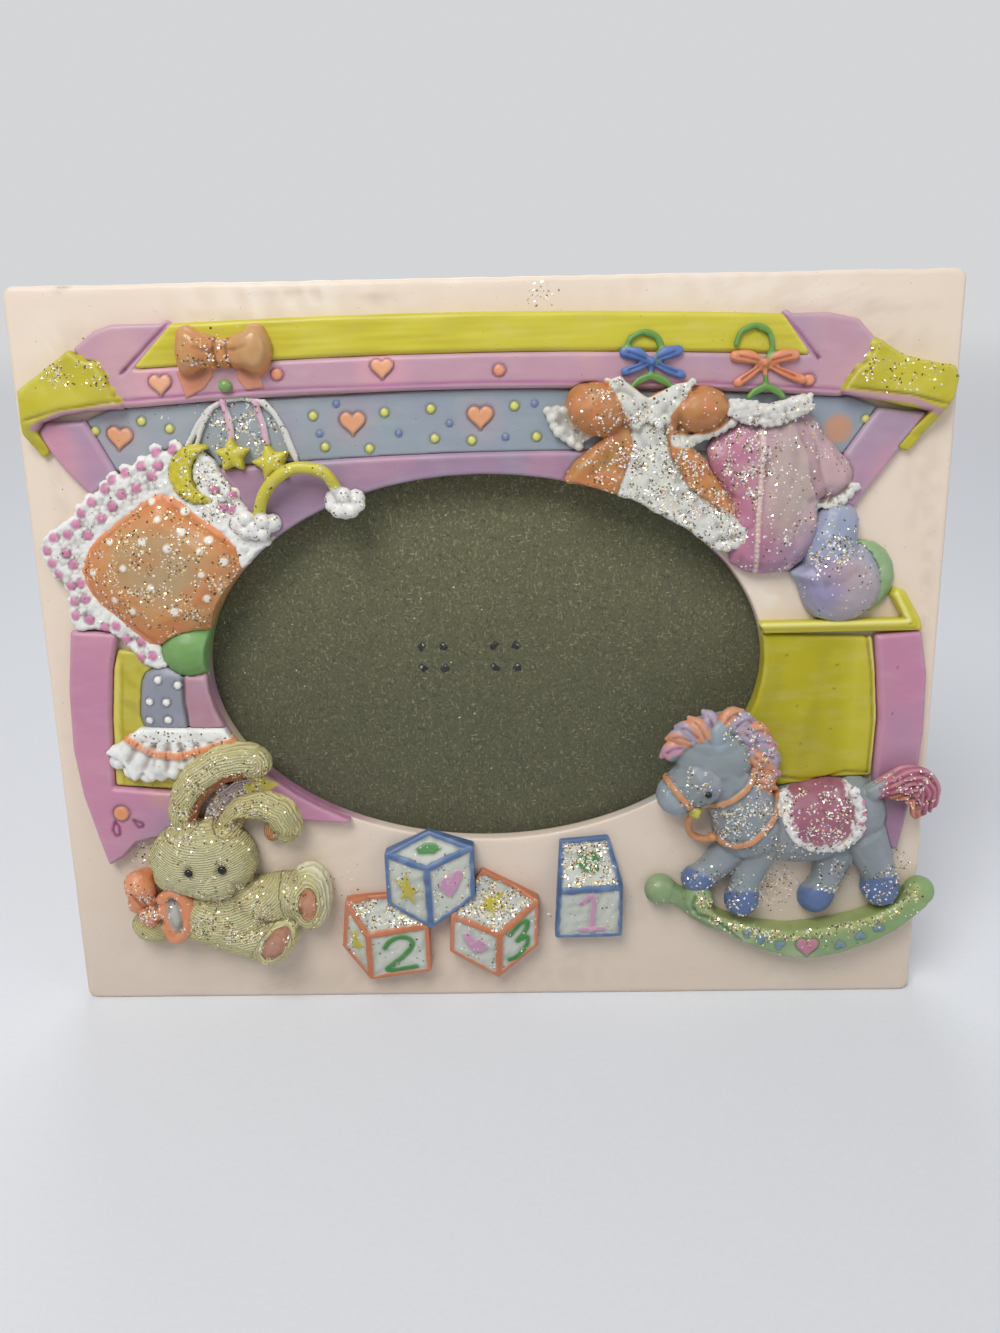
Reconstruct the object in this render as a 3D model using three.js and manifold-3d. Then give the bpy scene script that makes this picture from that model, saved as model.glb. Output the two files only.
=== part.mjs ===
// A nursery picture frame: a cast plate with an oval window, a glazed rabbet and turn buttons
// behind it, painted castings of a toy chest and its toys on its face, and a folding easel leg.
import * as THREE from 'three';
import { mergeVertices } from 'three/addons/utils/BufferGeometryUtils.js';
import { ConvexGeometry } from 'three/addons/geometries/ConvexGeometry.js';
import Module from 'manifold-3d';

const wasm = await Module();
wasm.setup();

// Driving dimensions, in millimetres and degrees.
const GAP = 0.3; // clearance between any two pieces that meet

// The plate leans back on the table, and its bottom face is cut to stand flat.
const LEAN = 13;
const PLATE_WIDTH = 216;
const PLATE_HEIGHT = 178;
const PLATE_CORNER = 2;
const PLATE_EDGE = 0.8;

// The window covers the edge of a landscape print, a little left of the plate's middle.
const PRINT_WIDTH = 152;
const PRINT_HEIGHT = 102;
const PRINT_COVER_SIDE = 8.7;
const PRINT_COVER_TOP = 5.5;
const WINDOW_OFF_CENTRE = -1;
const WINDOW_ABOVE_CENTRE = 0.5;
const WINDOW_SEGMENTS = 56;

// What lies in the rabbet, from the lip to the back.
const LIP_THICKNESS = 3.5;
const GLASS_THICKNESS = 1.6;
const BOARD_THICKNESS = 2;
const VELOUR_THICKNESS = 0.4;
const BACK_RECESS = 0.3;
const RABBET_CLEARANCE = 0.6;
const RABBET_CORNER = 1;

// The turn buttons and the pan head screws that they turn on.
const BUTTON_SPREAD = 92;
const BUTTON_WIDTH = 7;
const BUTTON_REACH = 11;
const BUTTON_THICKNESS = 0.9;
const SCREW_RADIUS = 1.3;
const SCREW_LENGTH = 5.5;
const SCREW_HEAD_RADIUS = 2.8;
const SCREW_HEAD_HEIGHT = 1.6;
const SCREW_SLOT = 0.7;
const SCREW_FROM_RABBET = 6;

// The easel leg and its hinge, placed from the middle of the board.
const HINGE_OFF_CENTRE = -4;
const RIVET_ABOVE_CENTRE = 0.5;
const RIVET_SPACING = 18;
const RIVET_BELOW_PIN = 8;
const RIVET_HEAD_RADIUS = 5;
const RIVET_HEAD_THICKNESS = 0.6;
const PRONG_CIRCLE_RADIUS = 3.9;
const PRONG_WIDTH = 1.4;
const PRONG_THICKNESS = 0.7;
const PRONG_RECESS = 0.2;
const LEAF_WIDTH = 32;
const LEAF_LENGTH = 15;
const LEAF_THICKNESS = 0.8;
const PIN_RADIUS = 0.8;
const PIN_BEHIND_VELOUR = 3.2;
const KNUCKLE_WALL = 0.8;
const KNUCKLE_WIDTH = 12;
const LEG_SPREAD = 16; // between the leg and the upright
const LEG_TOP_WIDTH = 40;
const LEG_FOOT_WIDTH = 56;
const LEG_THICKNESS = 2.4;
const LEG_RIVET_RADIUS = 1.5;
const LEG_RIVET_HEAD_RADIUS = 3.2;

// The castings are drawn on a sheet with these marks: an edge of the sheet, the two edges of the
// window and the other edge of the sheet. The drawing spreads to fit the same marks of the plate.
const SHEET_ACROSS = [-108, -68.3, 66.3, 108];
const SHEET_UP = [0, 44, 135, 178];

// How far each casting stands out from the plate's face.
const LINING_HEIGHT = 1;
const PANEL_HEIGHT = 1.8;
const SIDE_HEIGHT = 2;
const BAND_HEIGHT = 3;
const POST_HEIGHT = 3;
const RIM_HEIGHT = 3.4;
const CORNER_HEIGHT = 4.4;
const LACE_HEIGHT = 3.2;
const PILLOW_HEIGHT = 7.5;
const BALL_HEIGHT = 6;
const BLANKET_HEIGHT = 4;
const TRIM_HEIGHT = 4.4;
const BOOTIE_HEIGHT = 6.5;
const HIDDEN_BALL_HEIGHT = 4;
const DRESS_HEIGHT = 5.4;
const SLEEVE_HEIGHT = 8;
const GOWN_HEIGHT = 6.4;
const MOON_HEIGHT = 4.6;
const STAR_HEIGHT = 4.2;
const BOW_HEIGHT = 8;
const HANGER_RADIUS = 0.8;
const STRING_RADIUS = 0.6;
const WIRE_AXIS = 0.35; // of a hanger or a string, above its flat back
const RAINBOW_RADIUS = 1.15;
const BUNNY_BOW_FLOOR = 3;
const BUNNY_BOW_HEIGHT = 8.5;
const BELLY_RADIUS = 7.3;
const SADDLE_THICKNESS = 1.6;
const ROCKER_HEIGHT = 6.5;
const BLOCK_SIDE_HEIGHT = 4;
const BLOCK_NEAR_HEIGHT = 6;

// How far each casting's front edge is eased, and how full a stuffed form is: 0 is a box, 1 a ball.
const EDGE = 0.7;
const THIN_EDGE = 0.5;
const LINING_EDGE = 0.3;
const TRIM_EDGE = 0.6;
const DRESS_EDGE = 1.4;
const MOON_EDGE = 1;
const FULLNESS = 0.6;
const PILLOW_FULLNESS = 0.5;
const BLANKET_FULLNESS = 0.4;

// The mobile's moon and stars, and the ribbon bows on the hangers.
const MOON_DIAMETER = 13.4;
const MOON_BITE_DIAMETER = 12.6;
const MOON_BITE_OFFSET = 4.4;
const STAR_LEFT_RADIUS = 4;
const STAR_RIGHT_RADIUS = 4.6;
const STAR_WAIST = 0.48; // of its points' reach
const RIBBON_LOOP_RADIUS = 1.4;
const RIBBON_TAIL_RADIUS = 1.1;
const RIBBON_NECK_RADIUS = 0.75;

// Sizes that follow.
const lean = THREE.MathUtils.degToRad(LEAN);
const windowX = WINDOW_OFF_CENTRE;
const windowY = PLATE_HEIGHT / 2 + WINDOW_ABOVE_CENTRE;
const windowWidth = PRINT_WIDTH - 2 * PRINT_COVER_SIDE;
const windowHeight = PRINT_HEIGHT - 2 * PRINT_COVER_TOP;
const rabbetWidth = PRINT_WIDTH + 2 * RABBET_CLEARANCE;
const rabbetHeight = PRINT_HEIGHT + 2 * RABBET_CLEARANCE;
const glassFront = -LIP_THICKNESS - GAP;
const boardFront = glassFront - GLASS_THICKNESS - GAP;
const velourFront = boardFront - BOARD_THICKNESS - GAP;
const velourBack = velourFront - VELOUR_THICKNESS;
const plateBack = velourBack - BACK_RECESS;
const legOpening = THREE.MathUtils.degToRad(LEAN + LEG_SPREAD);
const hingeX = windowX + HINGE_OFF_CENTRE;
const rivetY = windowY + RIVET_ABOVE_CENTRE;
const pinY = rivetY + RIVET_BELOW_PIN;
const pinZ = velourBack - PIN_BEHIND_VELOUR;
const pinAboveTable = pinY * Math.cos(lean) + pinZ * Math.sin(lean);
const knuckleRadius = PIN_RADIUS + GAP + KNUCKLE_WALL;

// Corners and middles of the sheet, that the castings are drawn from.
const [sheetLeft, sheetWindowLeft, sheetWindowRight, sheetRight] = SHEET_ACROSS;
const [sheetBottom, sheetWindowBottom, sheetWindowTop, sheetTop] = SHEET_UP;
const windowCentre = [(sheetWindowLeft + sheetWindowRight) / 2,
  (sheetWindowBottom + sheetWindowTop) / 2];
const lowerLeft = [sheetLeft, sheetBottom];
const lowerMiddle = [0, sheetBottom];
const lowerRight = [sheetRight, sheetBottom];
const middleLeft = [sheetLeft, windowCentre[1]];
const middleRight = [sheetRight, windowCentre[1]];
const upperLeft = [sheetLeft, sheetTop];
const upperMiddle = [0, sheetTop];
const upperRight = [sheetRight, sheetTop];

// The same marks on the plate, across and up.
const plateAcross = [-PLATE_WIDTH / 2, windowX - windowWidth / 2, windowX + windowWidth / 2,
  PLATE_WIDTH / 2];
const plateUp = [0, windowY - windowHeight / 2, windowY + windowHeight / 2, PLATE_HEIGHT];

// A closed three.js geometry as a solid that can be joined and cut.
function solidOf(geometry) {
  const bare = geometry.clone();
  bare.deleteAttribute('normal');
  bare.deleteAttribute('uv');
  const merged = mergeVertices(bare);
  const corners = merged.index.array;
  const whole = [];
  for (let i = 0; i < corners.length; i += 3) {
    const [a, b, c] = corners.slice(i, i + 3);
    if (a !== b && b !== c && c !== a) whole.push(a, b, c);
  }
  return new wasm.Manifold(new wasm.Mesh({
    numProp: 3,
    vertProperties: new Float32Array(merged.attributes.position.array),
    triVerts: new Uint32Array(whole),
  }));
}

// A solid as a named mesh with its own finish.
function meshOf(name, solid, finish) {
  const { vertProperties, triVerts } = solid.getMesh();
  const geometry = new THREE.BufferGeometry();
  geometry.setAttribute('position', new THREE.BufferAttribute(new Float32Array(vertProperties), 3));
  geometry.setIndex(new THREE.BufferAttribute(new Uint32Array(triVerts), 1));
  geometry.computeVertexNormals();
  const mesh = new THREE.Mesh(geometry, new THREE.MeshStandardMaterial(finish));
  mesh.name = name;
  return mesh;
}

// The largest body of a solid, without the offcuts that a cut leaves.
function largest(solid) {
  return solid.decompose().reduce((a, b) => (a.volume() > b.volume() ? a : b));
}

function box(width, height, depth, x, y, z) {
  return solidOf(new THREE.BoxGeometry(width, height, depth).translate(x, y, z));
}

// A round rod along z, from zLow to zHigh.
function rod(radius, zLow, zHigh, x, y, sides = 20) {
  const geometry = new THREE.CylinderGeometry(radius, radius, zHigh - zLow, sides);
  return solidOf(geometry.rotateX(Math.PI / 2).translate(x, y, (zLow + zHigh) / 2));
}

// A round rod along x about the middle of the hinge.
function crossRod(radius, width, x, y, z, sides = 16) {
  const geometry = new THREE.CylinderGeometry(radius, radius, width, sides);
  return solidOf(geometry.rotateZ(Math.PI / 2).translate(x, y, z));
}

// Everything below the table, where the table's face tilts and lies so far along its normal.
function belowTable(tilt, height) {
  const depth = PLATE_HEIGHT;
  const geometry = new THREE.BoxGeometry(2 * PLATE_WIDTH, depth, 2 * depth);
  return solidOf(geometry.translate(0, height - depth / 2, 0).rotateX(tilt));
}

// Where a mark on the sheet lies on the plate, between the same two edges.
function spread(mark, sheet, plate) {
  const next = sheet.findIndex((edge) => mark < edge);
  const i = next < 0 ? sheet.length - 1 : Math.max(next, 1);
  return THREE.MathUtils.mapLinear(mark, sheet[i - 1], sheet[i], plate[i - 1], plate[i]);
}

// Points measured from an anchor of the sheet.
function at([x, y], points) {
  return points.map(([dx, dy, ...rest]) => [
    spread(x + dx, SHEET_ACROSS, plateAcross),
    spread(y + dy, SHEET_UP, plateUp),
    ...rest,
  ]);
}

function vectors(points) {
  return points.map(([x, y]) => new THREE.Vector2(x, y));
}

// A closed smooth outline through a few points.
function smooth(points, steps) {
  const knots = points.map(([x, y]) => new THREE.Vector3(x, y, 0));
  const curve = new THREE.CatmullRomCurve3(knots, true, 'centripetal');
  return curve.getPoints(steps).slice(0, steps).map(({ x, y }) => [x, y]);
}

// An open smooth stretch of an outline.
function smoothRun(points, steps) {
  const curve = new THREE.SplineCurve(vectors(points));
  return curve.getPoints(steps).map(({ x, y }) => [x, y]);
}

// A shallow bow from one point to another by way of a third.
function bow(start, middle, end, steps = 8) {
  const control = middle.map((m, i) => 2 * m - (start[i] + end[i]) / 2);
  const [a, b, c] = vectors([start, control, end]);
  return new THREE.QuadraticBezierCurve(a, b, c).getPoints(steps).map(({ x, y }) => [x, y]);
}

function oval(width, height, x, y, segments) {
  const curve = new THREE.EllipseCurve(x, y, width / 2, height / 2);
  return curve.getPoints(segments).slice(0, segments).map((point) => point.toArray());
}

function roundedRectangle(width, height, x, y, radius) {
  const shape = new THREE.Shape();
  const corners = [[1, -1, -90], [1, 1, 0], [-1, 1, 90], [-1, -1, 180]];
  for (const [sideX, sideY, start] of corners) {
    const centreX = x + sideX * (width / 2 - radius);
    const centreY = y + sideY * (height / 2 - radius);
    const from = THREE.MathUtils.degToRad(start);
    shape.absarc(centreX, centreY, radius, from, from + Math.PI / 2);
  }
  return shape;
}

// A flat plate of a shape between two depths, with its edges eased.
function flat(shape, zLow, zHigh, edge = 0, curveSegments = 4) {
  const geometry = new THREE.ExtrudeGeometry(shape, {
    depth: zHigh - zLow - 2 * edge,
    bevelEnabled: edge > 0,
    bevelThickness: edge,
    bevelSize: edge,
    bevelOffset: -edge,
    bevelSegments: 1,
    curveSegments,
  });
  return solidOf(geometry.translate(0, 0, zLow + edge));
}

// The castings' forms. Each takes how much larger to make itself, so that the piece behind it
// can be cut to clear it.
const SUNK = 2; // how far a form runs behind the plate's face before it is cut off flat
const PAST = 1; // how far a cut runs past what it cuts
const ROWS_PER_SIDE = 0.6; // of a ball's faces

// A flat casting with a rounded front edge.
function slab(outline, height, edge = EDGE) {
  return (grow) => {
    const geometry = new THREE.ExtrudeGeometry(new THREE.Shape(vectors(outline)), {
      depth: height + grow + SUNK - 2 * edge,
      bevelThickness: edge,
      bevelSize: edge,
      bevelOffset: grow - edge,
      bevelSegments: 1,
    });
    return solidOf(geometry.translate(0, 0, edge - SUNK));
  };
}

// A stuffed form that rises from an outline to its crown.
function cushion(outline, height, fullness = FULLNESS, rings = 8) {
  const clockwise = THREE.ShapeUtils.isClockWise(vectors(outline));
  const edge = vectors(clockwise ? [...outline].reverse() : outline);
  const count = edge.length;
  const middle = edge.reduce((sum, p) => sum.add(p), new THREE.Vector2()).divideScalar(count);
  return (grow) => {
    const geometry = new THREE.SphereGeometry(1, count, rings);
    const position = geometry.attributes.position;
    for (let i = 0; i < position.count; i += 1) {
      const arm = edge[i % (count + 1) % count].clone().sub(middle);
      arm.setLength(arm.length() + grow);
      const row = Math.floor(i / (count + 1));
      const angle = Math.PI * row / rings;
      const spread = row % rings ? Math.sin(angle) ** fullness : 0;
      const rise = (height + grow) * Math.cos(angle);
      position.setXYZ(i, middle.x + arm.x * spread, middle.y + arm.y * spread, rise);
    }
    return solidOf(geometry);
  };
}

// An ellipsoid, turned in the plane of the plate.
function ball([x, y, z], [rx, ry, rz], turn = 0, sides = 14) {
  return (grow) => {
    const geometry = new THREE.SphereGeometry(1, sides, Math.round(sides * ROWS_PER_SIDE));
    geometry.rotateX(Math.PI / 2).scale(rx + grow, ry + grow, rz + grow);
    return solidOf(geometry.rotateZ(THREE.MathUtils.degToRad(turn)).translate(x, y, z));
  };
}

// A rounded limb or strand: a capsule bent along a curve, thick and thin by turns.
function limb(points, radii, sides = 7, steps = 1) {
  const curve = new THREE.CatmullRomCurve3(points.map((point) => new THREE.Vector3(...point)));
  const spans = points.length - 1;
  const out = new THREE.Vector3(0, 0, 1);
  return (grow) => {
    const geometry = new THREE.CapsuleGeometry(1, 1, 2, sides, spans * steps);
    const position = geometry.attributes.position;
    for (let i = 0; i < position.count; i += 1) {
      const along = THREE.MathUtils.clamp(position.getY(i), -0.5, 0.5);
      const t = along + 0.5;
      const span = Math.min(Math.floor(t * spans), spans - 1);
      const radius = THREE.MathUtils.lerp(radii[span], radii[span + 1], t * spans - span) + grow;
      const forward = curve.getTangent(t);
      const side = forward.clone().cross(out).normalize();
      const up = side.clone().cross(forward);
      const point = curve.getPoint(t)
        .addScaledVector(forward, (position.getY(i) - along) * radius)
        .addScaledVector(side, position.getX(i) * radius)
        .addScaledVector(up, position.getZ(i) * radius);
      position.setXYZ(i, point.x, point.y, point.z);
    }
    return solidOf(geometry);
  };
}

// A toy block seen corner first: its outline stands at one height and its near edge at another.
function block(outline, nearEdge) {
  const middle = vectors(outline).reduce((sum, p) => sum.add(p)).divideScalar(outline.length);
  return (grow) => {
    const raise = ([x, y], z) => {
      const arm = new THREE.Vector2(x, y).sub(middle);
      arm.setLength(arm.length() + grow);
      return new THREE.Vector3(middle.x + arm.x, middle.y + arm.y, z);
    };
    return solidOf(new ConvexGeometry([
      ...outline.map((point) => raise(point, -SUNK)),
      ...outline.map((point) => raise(point, BLOCK_SIDE_HEIGHT + grow)),
      ...nearEdge.map((point) => raise(point, BLOCK_NEAR_HEIGHT + grow)),
    ]));
  };
}

function starOutline([x, y], radius, turn) {
  const inner = radius * STAR_WAIST;
  return Array.from({ length: 10 }, (_, i) => {
    const reach = i % 2 ? inner : radius;
    const angle = THREE.MathUtils.degToRad(turn + 36 * i);
    return [x + reach * Math.cos(angle), y + reach * Math.sin(angle)];
  });
}

// A clothes hanger with a ribbon bow at its neck.
function hanger([x, y], { hook, shoulder, loops, tails }) {
  const z = BAND_HEIGHT + GAP + WIRE_AXIS;
  const lay = (points) => points.map(([dx, dy]) => [x + dx, y + dy, z]);
  const wire = (points) => limb(lay(points), Array(points.length).fill(HANGER_RADIUS), 5);
  const ribbon = ([start, end], radius) => (
    limb(lay([start, [0, 0], end]), [radius, RIBBON_NECK_RADIUS, radius], 6)
  );
  return [
    wire(hook),
    wire(shoulder),
    wire([[0, 0], shoulder[1]]),
    ribbon(loops, RIBBON_LOOP_RADIUS),
    ribbon(tails, RIBBON_TAIL_RADIUS),
  ];
}

// Finishes.
const painted = (color) => ({ color, roughness: 0.45, metalness: 0 });
const CREAM = painted('#ecd6c4');
const YELLOW = painted('#ccbd38');
const ORCHID = painted('#cc80b3');
const ORANGE = painted('#e0875a');
const LINING_BLUE = painted('#858fa8');
const BALL_GREEN = painted('#6ea15c');
const HANGER_GREEN = painted('#5c8c33');
const LACE_WHITE = painted('#e8e6e6');
const BUNNY_CREAM = painted('#ccc794');
const HORSE_GREY = painted('#8c96a1');
const BLOCK_BLUE = painted('#4766b3');
const SADDLE_PINK = painted('#bf6680');
const ROCKER_GREEN = painted('#85ad61');
const BLANKET_GREY = painted('#7f8494');
const BOOTIE_BLUE = painted('#9496b5');
const GOWN_PINK = painted('#c795ad');
const GLASS = { color: '#eef4f2', roughness: 0.05, metalness: 0, transparent: true, opacity: 0.25 };
const CHIPBOARD = { color: '#6b6352', roughness: 0.9, metalness: 0 };
const VELOUR = { color: '#1d1b1b', roughness: 1, metalness: 0 };
const STEEL = { color: '#b9bbbd', roughness: 0.35, metalness: 1 };
const BRASSED = { color: '#c2a45c', roughness: 0.35, metalness: 1 };

// The castings, from the foremost to the rearmost. A piece with opens set ends at the window's
// edge, and floor is the height of what it is glued to.
const castings = [
  {
    name: 'rainbow',
    finish: YELLOW,
    forms: [
      limb(at(windowCentre, [[-52.2, 34.4, 3], [-50, 41, 5.2], [-47, 44.8, 6.2], [-43, 47.3, 6.4],
        [-39, 47.5, 6.4], [-35, 46, 6], [-31.6, 39.4, 3]]), Array(7).fill(RAINBOW_RADIUS), 6),
      ...at(windowCentre, [[-56.3, 34.8, 2.3], [-52.8, 33.7, 2.8], [-48.8, 35, 2.2],
        [-34, 40.3, 2.2], [-31.4, 38.3, 2.8], [-29, 40.3, 2.2]])
        .map(([x, y, r]) => ball([x, y, 2.6], [r, r, r], 0, 8)),
    ],
  },
  {
    name: 'rocker',
    finish: ROCKER_GREEN,
    forms: [
      slab(at(lowerRight, [
        ...smoothRun([[-56, 29.4], [-50, 24], [-33, 20.4], [-13, 24.3], [-3, 31]], 10),
        ...smoothRun([[0.5, 27.5], [-10, 18.8], [-28, 13], [-43, 16.8], [-58.6, 25.6]], 10),
      ]), ROCKER_HEIGHT),
      ball(at(lowerRight, [[-56.3, 28.6, 3.2]])[0], [3.6, 3.6, 3.5], 0, 10),
      ball(at(lowerRight, [[-1, 30, 3.2]])[0], [3.6, 3.6, 3.5], 0, 10),
      limb(at(lowerRight, [[-65.7, 30.6, 2], [-61, 28.6, 1.6], [-55, 24, 1.6], [-47, 19.6, 1.4]]),
        [3.8, 2.4, 2.6, 2.2]),
    ],
  },
  {
    name: 'rocking_horse',
    finish: HORSE_GREY,
    forms: [
      ball(at(lowerRight, [[-53.7, 65.8, 5.2]])[0], [9.3, 8.4, 5.6]),
      limb(at(lowerRight, [[-57, 61.5, 5], [-62.4, 57.2, 5]]), [7, 5]),
      limb(at(lowerRight, [[-52, 63, 3.6], [-47, 55, 2.6], [-44, 48, 1.6]]), [7, 8, 9]),
      ball(at(lowerRight, [[-30, 48.3, 1.5]])[0], [20, 10.2, BELLY_RADIUS], 4, 16),
      ball(at(lowerRight, [[-18.5, 51, 1.5]])[0], [8, 9, 7.2], 0, 12),
      limb(at(lowerRight, [[-41.5, 43, 3], [-44.5, 34, 3.6], [-45.6, 28.6, 3.8]]), [5, 3.5, 3.9]),
      limb(at(lowerRight, [[-46, 43, 1.5], [-53, 36, 1.5], [-56.5, 33, 1.5]]), [5, 3.4, 3.6]),
      limb(at(lowerRight, [[-16, 45, 2.4], [-11.5, 36, 3], [-10.8, 31, 3]]), [6, 4, 4.4]),
      limb(at(lowerRight, [[-22, 41, 1.5], [-24, 33, 1.5], [-26.5, 28.3, 1.5]]), [5, 3.6, 4]),
      limb(at(lowerRight, [[-64, 68, 5.6], [-58.5, 74, 6], [-51, 75.6, 6], [-44.5, 72.3, 5],
        [-41.2, 66, 4.4], [-41, 60, 4]]), [2.2, 3, 3.2, 3.6, 3.6, 2.8]),
      ball(at(lowerRight, [[-53, 73.4, 8.4]])[0], [2.2, 3.7, 1.8], 25, 8),
      limb(at(lowerRight, [[-15.5, 57, 5.4], [-11, 60.3, 6.2], [-6, 60.7, 6.4], [-2.6, 58, 6.4],
        [-1.8, 54.4, 6.2]]), [2.4, 2.3, 2.5, 2.6, 1.4]),
    ],
  },
  {
    name: 'saddle',
    finish: SADDLE_PINK,
    forms: [
      (grow) => {
        const seat = smooth(at(lowerRight, [[-37, 57.5], [-37.6, 52], [-35, 46.5], [-29, 43.3],
          [-22, 44], [-17, 48.5], [-16, 54], [-19, 59.5], [-24, 60.4], [-30, 58.6]]), 20);
        const around = ball(at(lowerRight, [[-29, 49, 1.5]])[0],
          [20, 11, BELLY_RADIUS + GAP + SADDLE_THICKNESS], 4, 16);
        return around(grow).intersect(slab(seat, 2 * BELLY_RADIUS, THIN_EDGE)(grow));
      },
    ],
  },
  {
    name: 'bunny_bow',
    finish: ORANGE,
    floor: BUNNY_BOW_FLOOR,
    forms: [
      cushion(smooth(at(lowerLeft, [[15.8, 35], [19.5, 39.2], [22.6, 38.2], [22.6, 33],
        [24, 29.6], [19, 27.4], [16, 29.6]]), 18), BUNNY_BOW_HEIGHT),
      cushion(smooth(at(lowerLeft, [[21.5, 30], [25, 32.8], [28, 33.8], [31.6, 32], [33, 28.5],
        [31.5, 24], [27, 18.8], [25, 22], [23.8, 26]]), 20), BUNNY_BOW_HEIGHT),
      ball(at(lowerLeft, [[21.4, 27, 5]])[0], [3, 3.4, 3.2], 0, 10),
    ],
  },
  {
    name: 'bunny',
    finish: BUNNY_CREAM,
    forms: [
      ball(at(lowerLeft, [[35.5, 41.4, 3.6]])[0], [13.6, 10.2, 8.6], 0, 16),
      limb(at(lowerLeft, [[31.2, 49, 3.2], [32.4, 56.5, 3.4], [36.5, 62.2, 3.8], [42.5, 66.2, 4.2],
        [48, 67.4, 4.4], [50.6, 66.8, 4.4]]), [3.2, 4, 4.6, 4.8, 4.4, 3.8], 8),
      limb(at(lowerLeft, [[42.5, 50.5, 3], [46, 54, 3], [51, 55.2, 3.2], [55.5, 53.4, 3.4],
        [57.2, 49.8, 3.2], [56.7, 48, 3]]), [2.6, 3.2, 3.5, 3.9, 3.7, 2.8]),
      ball(at(lowerLeft, [[40, 25.8, 1.4]])[0], [14.4, 10, 7.6]),
      limb(at(lowerLeft, [[42, 21.5, 2.6], [50, 19, 4]]), [6, 5.4]),
      ball(at(lowerLeft, [[52.7, 19.4, 4.8]])[0], [4.6, 7.5, 5], -35, 10),
      limb(at(lowerLeft, [[47, 29.5, 2.6], [58, 31, 3]]), [6, 6]),
      ball(at(lowerLeft, [[61.6, 30.7, 3.4]])[0], [5.5, 9.2, 4.8], -4, 10),
      limb(at(lowerLeft, [[30, 26.5, 1.6], [22, 22.6, 1.8]]), [4.6, 4.3]),
      ball(at(lowerLeft, [[21, 22.4, 2]])[0], [5.8, 4.2, 4.4], 0, 10),
    ],
  },
  {
    name: 'block_1',
    finish: BLOCK_BLUE,
    forms: [block(at(lowerMiddle, [[-27, 41.9], [-16, 47], [-4.9, 43.5], [-4.8, 30], [-16, 21.5],
      [-26.8, 28.6]]), at(lowerMiddle, [[-16.5, 38.6]]))],
  },
  {
    name: 'block_2',
    finish: ORANGE,
    forms: [block(at(lowerMiddle, [[-37.5, 29], [-25, 30], [-16.8, 22.3], [-16.5, 9.6], [-32, 7.3],
      [-38.7, 16.8]]), at(lowerMiddle, [[-32, 20.5]]))],
  },
  {
    name: 'block_3',
    finish: ORANGE,
    forms: [block(at(lowerMiddle, [[-2.7, 36.3], [11.3, 28.8], [11, 16.5], [1, 7.6], [-11.3, 15],
      [-10.8, 25]]), at(lowerMiddle, [[1.3, 20.3]]))],
  },
  {
    name: 'block_4',
    finish: BLOCK_BLUE,
    forms: [block(at(lowerMiddle, [[17, 43.8], [29, 44.8], [32.5, 33], [32.4, 18.8], [15.7, 18.5],
      [16.3, 32]]), at(lowerMiddle, [[17.5, 32.2], [31.3, 33]]))],
  },
  {
    name: 'bow_top',
    finish: ORANGE,
    floor: BAND_HEIGHT,
    forms: [
      cushion(smooth(at(upperLeft, [[39.2, -17.5], [39, -14], [40.5, -9.7], [43, -9.4],
        [47.5, -12.5], [50.5, -13.4], [50.5, -17], [48, -17.7], [42, -20.7]]), 18), BOW_HEIGHT),
      cushion(smooth(at(upperLeft, [[52, -13.2], [56, -9.8], [58.5, -9.3], [60.8, -12],
        [61.3, -16], [60, -19.5], [58, -21], [52, -17.5]]), 18), BOW_HEIGHT),
      ball(at(upperLeft, [[50.5, -15.3, BAND_HEIGHT]])[0], [3.2, 3, 5.2], 0, 12),
    ],
  },
  {
    name: 'hanger_left',
    finish: HANGER_GREEN,
    floor: BAND_HEIGHT,
    forms: hanger(at(upperRight, [[-70.4, -19.1]])[0], {
      hook: [[-5.6, 3], [-4.6, 5.2], [-2, 6.2], [1, 5.2], [2, 2.6], [0.6, 0]],
      shoulder: [[-4.4, -5.2], [0, -3.4], [4.6, -5.4]],
      loops: [[-6, 2], [5.6, 2]],
      tails: [[-5.6, -2.2], [6.6, -3]],
    }),
  },
  {
    name: 'hanger_right',
    finish: ORANGE,
    floor: BAND_HEIGHT,
    forms: hanger(at(upperRight, [[-45.2, -19.8]])[0], {
      hook: [[-6.5, 4.2], [-5.4, 6.6], [-2.4, 7.8], [0.8, 6.4], [1.6, 3.4], [0.4, 0]],
      shoulder: [[-3.2, -7.2], [0.6, -5.4], [4.4, -7.2]],
      loops: [[-6.6, 1.4], [6.6, 1.4]],
      tails: [[-5.6, -4.4], [8, -3.8]],
    }),
  },
  {
    name: 'moon',
    finish: YELLOW,
    floor: LINING_HEIGHT,
    forms: [(grow) => {
      const [[x, y]] = at(upperLeft, [[42.2, -42.1]]);
      const disc = oval(MOON_DIAMETER, MOON_DIAMETER, x, y, 24);
      const bite = oval(MOON_BITE_DIAMETER, MOON_BITE_DIAMETER, x + MOON_BITE_OFFSET, y, 24);
      return slab(disc, MOON_HEIGHT, MOON_EDGE)(grow).subtract(slab(bite, 2 * MOON_HEIGHT)(-grow));
    }],
  },
  {
    name: 'star_left',
    finish: YELLOW,
    floor: LINING_HEIGHT,
    forms: [slab(starOutline(at(upperLeft, [[50.2, -38]])[0], STAR_LEFT_RADIUS, 92), STAR_HEIGHT)],
  },
  {
    name: 'star_right',
    finish: YELLOW,
    floor: LINING_HEIGHT,
    forms: [slab(starOutline(at(upperLeft, [[59.2, -39.8]])[0], STAR_RIGHT_RADIUS, 104),
      STAR_HEIGHT)],
  },
  {
    name: 'mobile_strings',
    finish: LACE_WHITE,
    floor: LINING_HEIGHT,
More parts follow.
